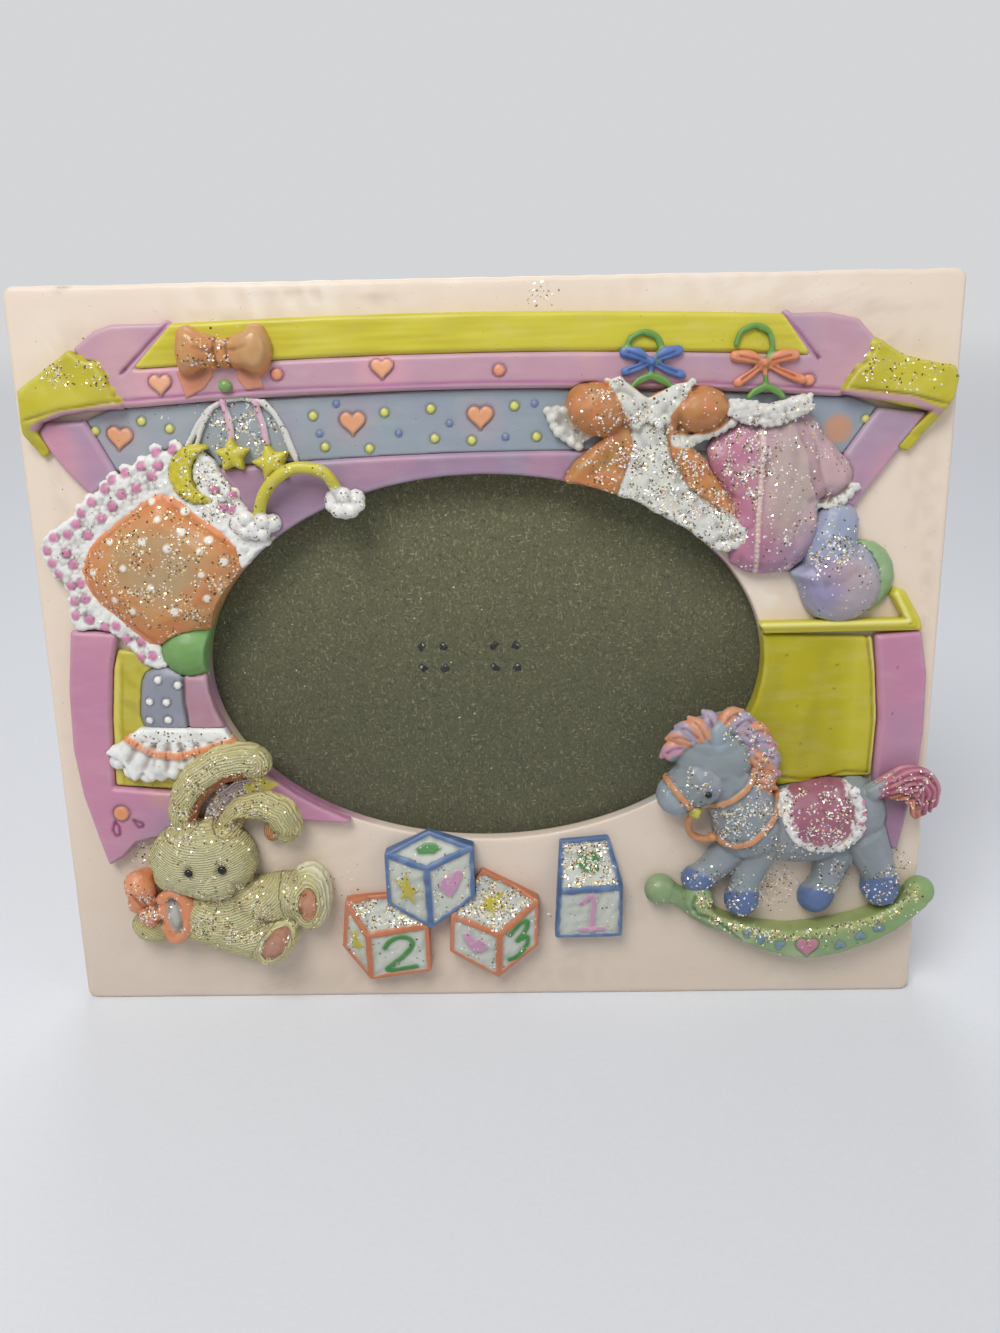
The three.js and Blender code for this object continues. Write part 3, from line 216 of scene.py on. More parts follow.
# Plate: one slab of cast resin, painted a pale pinkish cream. It has an oval window, a rabbet
# behind it for the glass and the board, eased edges, and a foot that is cut to stand leaning back.
MM = 0.001
LEAN = math.radians(13)
PLATE_WIDTH, PLATE_HEIGHT, PLATE_THICKNESS, PLATE_CORNER = 216, 178, 8.7, 2.6
WINDOW_X, WINDOW_Y, WINDOW_WIDTH, WINDOW_HEIGHT = -1, 89.5, 134.6, 91
RABBET_WIDTH, RABBET_HEIGHT, RABBET_CORNER, LIP = 153.2, 103.2, 1, 3.5
FRONT_EDGE, BACK_EDGE, WINDOW_EDGE = 1.3, 0.8, 0.7
CREAM, GRIME = "#e9d8c7", "#b3a08e"

face_axes = np.array([[1, 0, 0], [0, math.sin(LEAN), math.cos(LEAN)],
                      [0, -math.cos(LEAN), math.sin(LEAN)]])
foot = np.array([0, -PLATE_THICKNESS / math.cos(LEAN) / 2, 0])


def to_world(points):
    """Millimetres across, up and out from the plate's face, as a place in the frame."""
    return (np.asarray(points, float) @ face_axes + foot) * MM


def to_face(points):
    return (np.asarray(points, float) / MM - foot) @ face_axes.T


def ripple(points, size, seed):
    """Smooth uneven values about nought, with waves of about a size."""
    draw = np.random.default_rng(seed)
    waves = draw.normal(size=(9, 3))
    waves *= (2 * np.pi / size * draw.uniform(0.6, 1.7, 9) / np.linalg.norm(waves, axis=1))[:, None]
    return np.sin(points @ waves.T + draw.uniform(0, 2 * np.pi, 9)).sum(1) / 4


def soft(distance, edge=0.35):
    """1 inside a drawn line, 0 outside it, and a soft edge between."""
    share = np.clip(np.asarray(distance) / edge + 0.5, 0, 1)
    return share * share * (3 - 2 * share)


def inside(points, outline):
    """How far points are inside a closed outline, seen from in front. It is negative outside."""
    first = np.asarray(outline, float)[:, :2]
    second = np.roll(first, -1, 0)
    best = np.full(len(points), 1e9)
    odd = np.zeros(len(points), bool)
    for (ax, ay), (bx, by) in zip(first, second):
        px, py, sx, sy = points[:, 0] - ax, points[:, 1] - ay, bx - ax, by - ay
        share = np.clip((px * sx + py * sy) / (sx * sx + sy * sy + 1e-12), 0, 1)
        best = np.minimum(best, np.hypot(px - share * sx, py - share * sy))
        crosses = (py < 0) != (points[:, 1] - by < 0)
        odd ^= crosses & (px < sx * py / (sy if sy else 1e-12))
    return np.where(odd, best, -best)


def beside(points, run):
    """How far points are from a run of places, seen from in front or in space, and the share of
    the run that is passed at the nearest place."""
    run = np.asarray(run, float)
    points = points[:, :run.shape[1]]
    lengths = np.linalg.norm(np.diff(run, axis=0), axis=1)
    passed = np.concatenate([[0], np.cumsum(lengths)])
    best = np.full(len(points), 1e9)
    where = np.zeros(len(points))
    for i, length in enumerate(lengths):
        step = run[i + 1] - run[i]
        share = np.clip((points - run[i]) @ step / (length * length + 1e-12), 0, 1)
        away = np.linalg.norm(points - run[i] - share[:, None] * step, axis=1)
        nearer = away < best
        best = np.where(nearer, away, best)
        where = np.where(nearer, (passed[i] + share * length) / passed[-1], where)
    return best, where


def rounded_rectangle(width, height, x, y, corner):
    points = []
    for quarter, (across, up) in enumerate([(1, 1), (-1, 1), (-1, -1), (1, -1)]):
        for angle in np.linspace(quarter, quarter + 1, 8) * math.pi / 2:
            points.append((x + across * (width / 2 - corner) + corner * math.cos(angle),
                           y + up * (height / 2 - corner) + corner * math.sin(angle)))
    return np.array(points)


def oval(width, height, x, y, count=360):
    angle = np.arange(count) * 2 * np.pi / count
    return np.stack([x + width / 2 * np.cos(angle), y + height / 2 * np.sin(angle)], 1)


def piece(name, points, faces, finish, paint=None, **values):
    """A mesh in the frame from points on the face, with its paint and other values at its points."""
    mesh = bpy.data.meshes.new(name)
    mesh.from_pydata(to_world(points), [], faces)
    mesh.materials.append(finish.material)
    mesh.shade_smooth()
    if paint is not None:
        coats = np.ones((len(points), 4), np.float32)
        coats[:, :3] = linear(paint)
        mesh.attributes.new("paint", "FLOAT_COLOR", "POINT").data.foreach_set("color", coats.ravel())
    for key, value in values.items():
        mesh.attributes.new(key, "FLOAT", "POINT").data.foreach_set("value", value.astype(np.float32))
    made = bpy.data.objects.new(name, mesh)
    scene.collection.objects.link(made)
    return made


def resin(name, roughness, streaks=0.05, tooth=0.00005, stipple=0.4, ribs=1.6, furrow_shade=0.05):
    """Painted resin: the coats at each point, chalky brushwork, pinholes and a faint tooth."""
    finish = Finish(name)
    coats = finish.node("ShaderNodeAttribute", {"attribute_name": "paint"}, None, "Color")
    combing = finish.node("ShaderNodeAttribute", {"attribute_name": "comb"}, None, "Fac")
    ridges = finish.node("ShaderNodeMath", {"operation": "SINE"}, {0: combing})
    brushed = finish.noise(60, 4, (1, 4, 4))
    mottled = finish.noise(240, 3)
    chalk = finish.noise(130, 5, (1, 3, 3)).above(0.6, 0.2)
    pinholes = finish.noise(1500, 1).above(0.775, 0.03)
    level = (1 - streaks) + (brushed + mottled) * streaks
    # Painted shade and highlight: the colour darkens in the combed furrows and lightens on their crests,
    # by the furrow share; the chalky mix over it is wear.
    worn_and_furrow_shaded = finish.mix(chalk * 0.07, finish.scaled(coats, level + ridges * furrow_shade), shade("#e6ded8"))
    finish.set(**{
        "Base Color": finish.mix(pinholes * 0.4, worn_and_furrow_shaded, shade("#6d5f50")),
        "Roughness": roughness - 0.1 + mottled * 0.2,
    })
    tooth_noise = finish.noise(1900, 2)
    finish.bumps(tooth_noise * stipple + mottled * 0.6 + ridges * ribs - pinholes, tooth, 0.9)
    return finish


class Rays:
    """Directions round the window's middle, closer together at the corners of the plate."""

    def __init__(self):
        corners = np.vstack([rounded_rectangle(PLATE_WIDTH, PLATE_HEIGHT, 0, PLATE_HEIGHT / 2,
                                               PLATE_CORNER),
                             rounded_rectangle(RABBET_WIDTH, RABBET_HEIGHT, WINDOW_X, WINDOW_Y,
                                               RABBET_CORNER)])
        bearing = np.arctan2(corners[:, 1] - WINDOW_Y, corners[:, 0] - WINDOW_X)
        even = np.linspace(-np.pi, np.pi, 480, endpoint=False)
        self.angles = np.unique(np.round(np.concatenate([bearing, even]), 4))
        self.ways = np.stack([np.cos(self.angles), np.sin(self.angles)], 1)

    def reach(self, outline):
        """How far each ray goes before it meets an outline."""
        start = outline - (WINDOW_X, WINDOW_Y)
        side = np.roll(start, -1, 0) - start
        slant = self.ways[:, :1] * side[:, 1] - self.ways[:, 1:] * side[:, 0]
        slant = np.where(abs(slant) < 1e-9, 1e-9, slant)
        far = (start[:, 0] * side[:, 1] - start[:, 1] * side[:, 0]) / slant
        share = (start[:, 0] * self.ways[:, 1:] - start[:, 1] * self.ways[:, :1]) / slant
        return np.where((share > -1e-5) & (share < 1 + 1e-5) & (far > 0), far, 0).max(1)


rays = Rays()


def plate_reach(inset):
    return rays.reach(rounded_rectangle(PLATE_WIDTH - 2 * inset, PLATE_HEIGHT - 2 * inset, 0,
                                        PLATE_HEIGHT / 2, max(PLATE_CORNER - inset, 0.5)))


def window_reach(outset):
    return rays.reach(oval(WINDOW_WIDTH + 2 * outset, WINDOW_HEIGHT + 2 * outset, WINDOW_X, WINDOW_Y))


quarter_turn = np.linspace(0, math.pi / 2, 6)
rings = [(plate_reach(BACK_EDGE * (1 - math.sin(a))), BACK_EDGE * (1 - math.cos(a)) - PLATE_THICKNESS)
         for a in quarter_turn]
rings += [(plate_reach(0), z) for z in np.linspace(BACK_EDGE - PLATE_THICKNESS, -FRONT_EDGE, 8)[1:-1]]
rings += [(plate_reach(FRONT_EDGE * (1 - math.cos(a))), FRONT_EDGE * (math.sin(a) - 1))
          for a in quarter_turn]
near, far = plate_reach(FRONT_EDGE), window_reach(WINDOW_EDGE)
rings += [(near + (far - near) * share, 0) for share in np.linspace(0, 1, 36)[1:-1]]
rings += [(window_reach(WINDOW_EDGE * (1 - math.sin(a))), WINDOW_EDGE * (math.cos(a) - 1))
          for a in quarter_turn]
rings += [(window_reach(0), z) for z in np.linspace(-WINDOW_EDGE, -LIP, 6)[1:]]
near, far = window_reach(0), rays.reach(rounded_rectangle(RABBET_WIDTH, RABBET_HEIGHT, WINDOW_X,
                                                          WINDOW_Y, RABBET_CORNER))
rings += [(near + (far - near) * share, -LIP) for share in (0.35, 0.7, 1)]
rings += [(far, z) for z in np.linspace(-LIP, -PLATE_THICKNESS, 5)[1:]]
near = plate_reach(BACK_EDGE)
rings += [(far + (near - far) * share, -PLATE_THICKNESS) for share in np.linspace(0, 1, 10)[1:-1]]

round_count = len(rays.angles)
plate_points = np.vstack([np.column_stack([WINDOW_X + radii * rays.ways[:, 0],
                                           WINDOW_Y + radii * rays.ways[:, 1],
                                           np.full(round_count, z)]) for radii, z in rings])
plate_faces = [(i * round_count + k, i * round_count + (k + 1) % round_count,
                (i + 1) % len(rings) * round_count + (k + 1) % round_count,
                (i + 1) % len(rings) * round_count + k)
               for i in range(len(rings)) for k in range(round_count)]
sides = abs(plate_points[:, 2]) > 0.01
plate_points[:, 2] += np.where(sides, 0, 0.06 * ripple(plate_points, 38, 3))
plate_points[:, 1] += np.where(plate_points[:, 1] > 170, 0.12 * ripple(plate_points, 9, 4), 0)
plate_points[:, 1] = np.maximum(plate_points[:, 1], -plate_points[:, 2] * math.tan(LEAN))

# The colours of the toys run over the window's edge and down its wall.
WALL_COLOURS = [(-66, 112, "#b9683a"), (-67.6, 97, "#6a9453"), (-67.6, 84, "#a87c9c"),
                (-61, 69, "#cfcc9c"), (-53, 59.5, "#a4718f"), (-40, 53, "#a4718f"), (-28, 48.5, CREAM),
                (30, 48.5, CREAM), (55, 64, "#8e98a0"), (63.5, 80, "#b3a722"), (65.3, 90, "#b3a722"),
                (65.3, 100, CREAM), (62, 109, CREAM), (58.5, 114, "#b0708f"), (51, 120.5, "#e2e2e2"),
                (38, 128, "#e2e2e2"), (25, 132, "#c77c4a"), (12, 134, "#b57ca6"), (-30, 130, "#b57ca6"),
                (-46, 124, "#b57ca6"), (-58, 117.5, "#e2e2e2")]
bearings = np.array([math.atan2((y - WINDOW_Y) * WINDOW_WIDTH / WINDOW_HEIGHT, x - WINDOW_X)
                     for x, y, _ in WALL_COLOURS])
order = np.argsort(bearings)
wall_tints = np.array([tint(colour) for *_, colour in WALL_COLOURS])[order]
round_window = np.arctan2((plate_points[:, 1] - WINDOW_Y) * WINDOW_WIDTH / WINDOW_HEIGHT,
                          plate_points[:, 0] - WINDOW_X)
window_depth = inside(plate_points, oval(WINDOW_WIDTH + 1, WINDOW_HEIGHT + 1, WINDOW_X, WINDOW_Y, 120))
on_wall = soft(window_depth + 0.3, 0.5) * (plate_points[:, 2] < -0.15) * (plate_points[:, 2] > -4)
wall_paint = np.stack([np.interp(round_window, bearings[order], wall_tints[:, k], period=2 * np.pi)
                       for k in range(3)], 1)
plate_paint = np.tile(tint(CREAM), (len(plate_points), 1))
plate_paint += (wall_paint - plate_paint) * on_wall[:, None]


def smudge(colour, x, y, across, up, strength):
    """A rubbed mark on the plate, with a ragged edge."""
    away = np.hypot((plate_points[:, 0] - x) / across, (plate_points[:, 1] - y) / up)
    cover = np.clip(1.2 - away, 0, 1) * np.clip(0.6 + ripple(plate_points, 5, int(x + y) % 97), 0, 1)
    cover *= plate_points[:, 2] > BACK_EDGE - PLATE_THICKNESS
    plate_paint[:] += (tint(colour) - plate_paint) * (strength * cover)[:, None]


for mark in [(GRIME, -42, 175.2, 12, 1.6, 0.5), (GRIME, -25, 174, 9, 1.2, 0.4),
             (GRIME, -20, 5, 60, 4, 0.2), (GRIME, 80, 170, 22, 2.5, 0.3),
             ("#fbf3ea", -45, 174, 30, 5, 0.5), (GRIME, -60, 170, 14, 2, 0.3),
             ("#fbf3ea", 60, 174, 40, 5, 0.4), (GRIME, 100, 134, 4, 22, 0.2),
             (GRIME, 60, 40, 16, 5, 0.25), (GRIME, -88, 38, 8, 5, 0.3), (GRIME, 12, 12, 20, 6, 0.15),
             ("#8f8375", -94.5, 177.6, 1.4, 1.2, 0.9), ("#8f8375", -70.5, 177.8, 1.1, 0.8, 0.8),
             ("#8f8375", 98, 177.6, 1, 0.8, 0.6), ("#c8b095", 71, 31, 7, 7, 0.7),
             ("#f3ece2", 66, 106, 9, 6, 0.6), ("#a89a88", -100, 118, 2, 30, 0.25),
             ("#a89a88", 104, 110, 2, 40, 0.2)]:
    smudge(*mark)
brushing = np.random.default_rng(12)
for x, y, turn in brushing.uniform((-104, 4, 0), (104, 176, 1), (60, 3)):
    smudge("#f6ece0" if turn < 0.6 else GRIME, x, y, 4 + 9 * turn, 3 + 5 * (1 - turn), 0.2)

# Painted shade: the plate darkens towards its foot, below 70 mm, as if less light reached its lower part.
plate_paint *= 1 - 0.09 * np.clip(1 - plate_points[:, 1:2] / 70, 0, 1)

plate_glitter = np.zeros(len(plate_points))
for x, y, across, up, amount in [(-83, 157, 2.5, 8, 1), (-86, 163, 5, 2, 0.9), (13, 174, 3.5, 3, 0.8),
                                 (-88, 42, 4, 4, 0.7), (102, 35, 4, 4, 0.8), (87, 33, 6, 4, 0.3),
                                 (58, 35, 9, 5, 0.12), (-44, 35, 3, 8, 0.06), (-37, 26, 3, 14, 0.06),
                                 (71, 31, 6, 6, 1.0), (12, 18, 4, 8, 0.06), (-92, 130, 6, 14, 0.04)]:
    away = np.hypot((plate_points[:, 0] - x) / across, (plate_points[:, 1] - y) / up)
    plate_glitter += amount * np.clip(1.3 - away, 0, 1) * ~sides

cream_resin = resin("cream_resin", 0.5, 0.03, 0.00003)
plate = piece("plate", plate_points, plate_faces, cream_resin, plate_paint, glitter=plate_glitter,
              comb=np.zeros(len(plate_points)))
shell = bmesh.new()
shell.from_mesh(plate.data)
bmesh.ops.recalc_face_normals(shell, faces=shell.faces)
shell.to_mesh(plate.data)
shell.free()
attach(plate, "frame")
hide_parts("frame_plate")

# Pane and backing: clear glass, and behind it a grey chipboard sheet whose back is flocked
# with black velour. They lie loose in the rabbet, and the turn buttons hold them in.
glass = Finish("clear_glass", Roughness=0.04, Base_Color=(1, 1, 1, 1), IOR=1.5)
dust = glass.noise(500, 4).above(0.7, 0.1)
glass.set(Alpha=0.014 + dust * 0.03)

chipboard = Finish("grey_chipboard")
board_colour = chipboard.mix(chipboard.noise(260, 5), shade("#48482b"), shade("#565637"))
FIBRES = [("#2a291d", 0.66, 0.4), ("#878563", 0.67, 1.5), ("#1f1e16", 0.69, 2.4),
          ("#9b9874", 0.7, 3.0), ("#37362a", 0.63, 0.9), ("#747254", 0.64, 2.0)]
for k, (colour, level, turn) in enumerate(FIBRES):
    lie = chipboard.node("ShaderNodeMapping", {"vector_type": "TEXTURE"}, {
        "Vector": chipboard.place, "Rotation": (LEAN, turn, 0), "Scale": (2, 0.6, 0.6)})
    fibres = chipboard.noise(1050 + 150 * k, 1, place=lie).above(level, 0.02)
    board_colour = chipboard.mix(fibres * 0.6, board_colour, shade(colour))
lint = chipboard.noise(700, 1).above(0.79, 0.015)
# Painted light: the board is lighter above a height on the frame and darker below it, standing for the
# brighter light and reflection on its upper part.
LIT_TOP_HEIGHT, LIT_TOP_REACH = 0.104, 0.04
height = chipboard.node("ShaderNodeSeparateXYZ", None, {0: chipboard.place}, 2)
painted_top_light = height.above(LIT_TOP_HEIGHT, LIT_TOP_REACH)
board_colour = chipboard.scaled(board_colour, 0.9 + 0.6 * painted_top_light)
chipboard.set(**{"Base Color": chipboard.mix(lint * 0.8, board_colour, shade("#cfccbc")),
                 "Roughness": 0.85 + 0.1 * chipboard.noise(700, 2)})
chipboard.bumps(chipboard.noise(1500, 4), 0.00012, 0.6)

velour = Finish("black_velour", Sheen_Weight=0.5, Sheen_Roughness=0.4)
pile = velour.noise(3500, 2)
brushed_pile = velour.noise(70, 4, (1, 1, 0.35)).above(0.5, 0.25)
nap = brushed_pile * 0.7 + pile * 0.3
velour.set(**{"Base Color": velour.mix(nap, shade("#171616"), shade("#413d3b")),
              "Roughness": 0.9 + pile * 0.1})
velour.bumps(pile, 0.0002, 0.8)


def eased(node, body, finish, width, segments=2):
    """A copy of a CAD piece with its edges eased, in a finish."""
    shape = bmesh.new()
    shape.from_mesh(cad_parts[node].data)
    bmesh.ops.remove_doubles(shape, verts=shape.verts, dist=1e-6)
    bmesh.ops.dissolve_limit(shape, angle_limit=math.radians(1), verts=shape.verts, edges=shape.edges)
    mesh = bpy.data.meshes.new(node + "_eased")
    shape.to_mesh(mesh)
    shape.free()
    mesh.materials.clear()
    mesh.materials.append(finish.material)
    mesh.shade_smooth()
    made = bpy.data.objects.new(node + "_eased", mesh)
    scene.collection.objects.link(made)
    bevel = made.modifiers.new("edges", "BEVEL")
    bevel.width, bevel.segments, bevel.limit_method = width * MM, segments, "ANGLE"
    bevel.angle_limit = math.radians(35)
    flats = made.modifiers.new("flats", "WEIGHTED_NORMAL")
    flats.weight = 100
    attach(made, body)
    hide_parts(node)


eased("glass_pane", "frame", glass, 0.15)
eased("backing_board", "frame", chipboard, 0.08, 1)
eased("velour_backing", "frame", velour, 0.08, 1)

# Easel leg, hinge and turn buttons: a velour-covered leg on a pressed steel hinge. Steel rivets
# with prongs go through the board and brassed ones through the leg, and four brassed buttons
# turn on pan head screws in the plate's back.
steel = Finish("zinc_steel", Metallic=1)
scuffs = steel.noise(900, 3, (1, 6, 6))
steel.set(**{"Base Color": steel.mix(steel.noise(120, 4), shade("#9a9da1"), shade("#c6c9cc")),
             "Roughness": 0.28 + 0.2 * scuffs})
steel.bumps(scuffs, 0.00003, 0.5)
brassed = Finish("dull_brass", Metallic=1)
tarnish = brassed.noise(300, 5).above(0.58, 0.16)
brassed.set(**{"Base Color": brassed.mix(tarnish, shade("#c9a95a"), shade("#7d6436")),
               "Roughness": 0.25 + 0.25 * tarnish})
brassed.bumps(brassed.noise(1500, 2), 0.00003, 0.4)


def slab(outline, low, high):
    """A flat closed form with an outline."""
    count = len(outline)
    points = [(x, y, z) for z in (low, high) for x, y in outline]
    walls = [(k, (k + 1) % count, (k + 1) % count + count, k + count) for k in range(count)]
    return np.array(points), [tuple(range(count))[::-1], tuple(range(count, 2 * count))] + walls


# The rivets' prongs come through the board, and the card is torn round each of them. A thin near-black
# sheet over each tear is painted shade, for the dark inside the hole.
hole_shade_card = Finish("hole_shade_card", Base_Color=shade("#100f0b"), Roughness=0.95)
board_front = to_face([v.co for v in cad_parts["backing_board"].data.vertices])[:, 2].max()
TEAR_CORNERS, TEAR_REACH = 9, (0.45, 1.3)
tearing = np.random.default_rng(5)

eased("hinge_leaf_board", "frame", steel, 0.15)
eased("hinge_pin", "frame", steel, 0.2)
for side in ("left", "right"):
    eased("board_rivet_" + side, "frame", steel, 0.18)
    eased("leg_rivet_" + side, "leg", brassed, 0.2)
    prongs = to_face([v.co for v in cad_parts["board_rivet_" + side].data.vertices])
    prongs = prongs[prongs[:, 2] > prongs[:, 2].max() - 0.05]
    quarters = (prongs[:, :2] > prongs[:, :2].mean(0)) @ (1, 2)
    for quarter in range(4):
        x, y = prongs[quarters == quarter, :2].mean(0)
        angles = np.arange(TEAR_CORNERS) * 2 * math.pi / TEAR_CORNERS
        torn = [(x + 0.35 * math.cos(quarter) + reach * math.cos(angle),
                 y - 0.25 + reach * math.sin(angle))
                for angle, reach in zip(angles, tearing.uniform(*TEAR_REACH, TEAR_CORNERS))]
        hole = piece(f"hole_shade_{side}_{quarter}", *slab(torn, board_front, board_front + 0.02),
                     hole_shade_card)
        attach(hole, "frame")
eased("easel_leg", "leg", velour, 0.5, 3)
eased("hinge_leaf_leg", "leg", steel, 0.15)
for number in range(1, 5):
    eased(f"turn_button_{number}", f"button_{number}", brassed, 0.22)
    eased(f"turn_button_screw_{number}", "frame", steel, 0.15)

# Toy chest: its posts, panels and rims, low resin castings with eased edges, bonded to the plate.
# They are painted orchid pink and yellow, with a bead and tears worked into the left post.
PINK, MAUVE, LAVENDER, ROSE = "#be829f", "#9b6c86", "#a08ea6", "#cb91a2"
YELLOW, OCHRE, STRAW = "#c9be30", "#a2951f", "#ddd56a"
ORANGE, WHITE, WASH_BROWN = "#d98a58", "#e9eae7", "#5a4038"
# In millimetres: the size of a skin's quads, and how near the plate an added form may come.
GRAIN = 0.42
FLOOR = 0.3


def through(points, count):
    """Places evenly along a smooth run through some points."""
    points = np.asarray(points, float)
    if points.ndim == 1:
        points = points[:, None]
    ends = np.vstack([2 * points[0] - points[1], points, 2 * points[-1] - points[-2]])
    share = np.linspace(0, len(points) - 1, count)
    i = np.minimum(share.astype(int), len(points) - 2)
    t = (share - i)[:, None]
    a, b, c, d = (ends[i + k] for k in range(4))
    return 0.5 * (2 * b + (c - a) * t + (2 * a - 5 * b + 4 * c - d) * t ** 2
                  + (3 * b - a - 3 * c + d) * t ** 3)


def roll(path, radii, flatness=1.0, sides=14, steps=8):
    """A closed round bar along a path, with one radius or one at each point, flattened outwards."""
    count = steps * (len(path) - 1) + 1
    line = through(path, count)
    size = through(np.broadcast_to(radii, len(path)), count)[:, 0]
    along = np.gradient(line, axis=0)
    along /= np.linalg.norm(along, axis=1)[:, None]
    across = np.cross(along, (0, 0.02, 1))
    across /= np.linalg.norm(across, axis=1)[:, None]
    out = np.cross(across, along)
    caps = np.radians([75, 50, 25])
    line = np.vstack([line[:1] - along[:1] * size[0] * np.sin(caps)[:, None], line,
                      line[-1:] + along[-1:] * size[-1] * np.sin(caps[::-1])[:, None]])
    size = np.concatenate([size[0] * np.cos(caps), size, size[-1] * np.cos(caps[::-1])])
    across, out = (np.vstack([np.repeat(way[:1], len(caps), 0), way, np.repeat(way[-1:], len(caps), 0)])
                   for way in (across, out))
    angle = np.arange(sides) * 2 * np.pi / sides
    points = (line[:, None] + size[:, None, None] * (np.cos(angle)[None, :, None] * across[:, None]
              + flatness * np.sin(angle)[None, :, None] * out[:, None])).reshape(-1, 3)
    rows = len(line)
    faces = [(r * sides + k, r * sides + (k + 1) % sides, (r + 1) * sides + (k + 1) % sides,
              (r + 1) * sides + k) for r in range(rows - 1) for k in range(sides)]
    return points, faces + [tuple(range(sides))[::-1], tuple(range((rows - 1) * sides, rows * sides))]


def pebble(centre, radii, turn=0, sides=18, rings=9):
    """A closed egg-shaped form, turned about the face's outward line."""
    points, faces = [(0, 0, 1)], []
    for ring in range(1, rings + 1):
        for k in range(sides):
            a, b = math.pi * ring / (rings + 1), 2 * math.pi * k / sides
            points.append((math.sin(a) * math.cos(b), math.sin(a) * math.sin(b), math.cos(a)))
    points.append((0, 0, -1))
    last = len(points) - 1
    for k in range(sides):
        after = (k + 1) % sides
        faces.append((0, 1 + k, 1 + after))
        faces.append((last, last - sides + after, last - sides + k))
        for start in range(1, last - sides, sides):
            faces.append((start + k, start + sides + k, start + sides + after, start + after))
    points = np.array(points) * radii
    c, s = math.cos(math.radians(turn)), math.sin(math.radians(turn))
    return points @ np.array([[c, s, 0], [-s, c, 0], [0, 0, 1]]) + np.asarray(centre), faces


painted_resin = resin("painted_resin", 0.42)


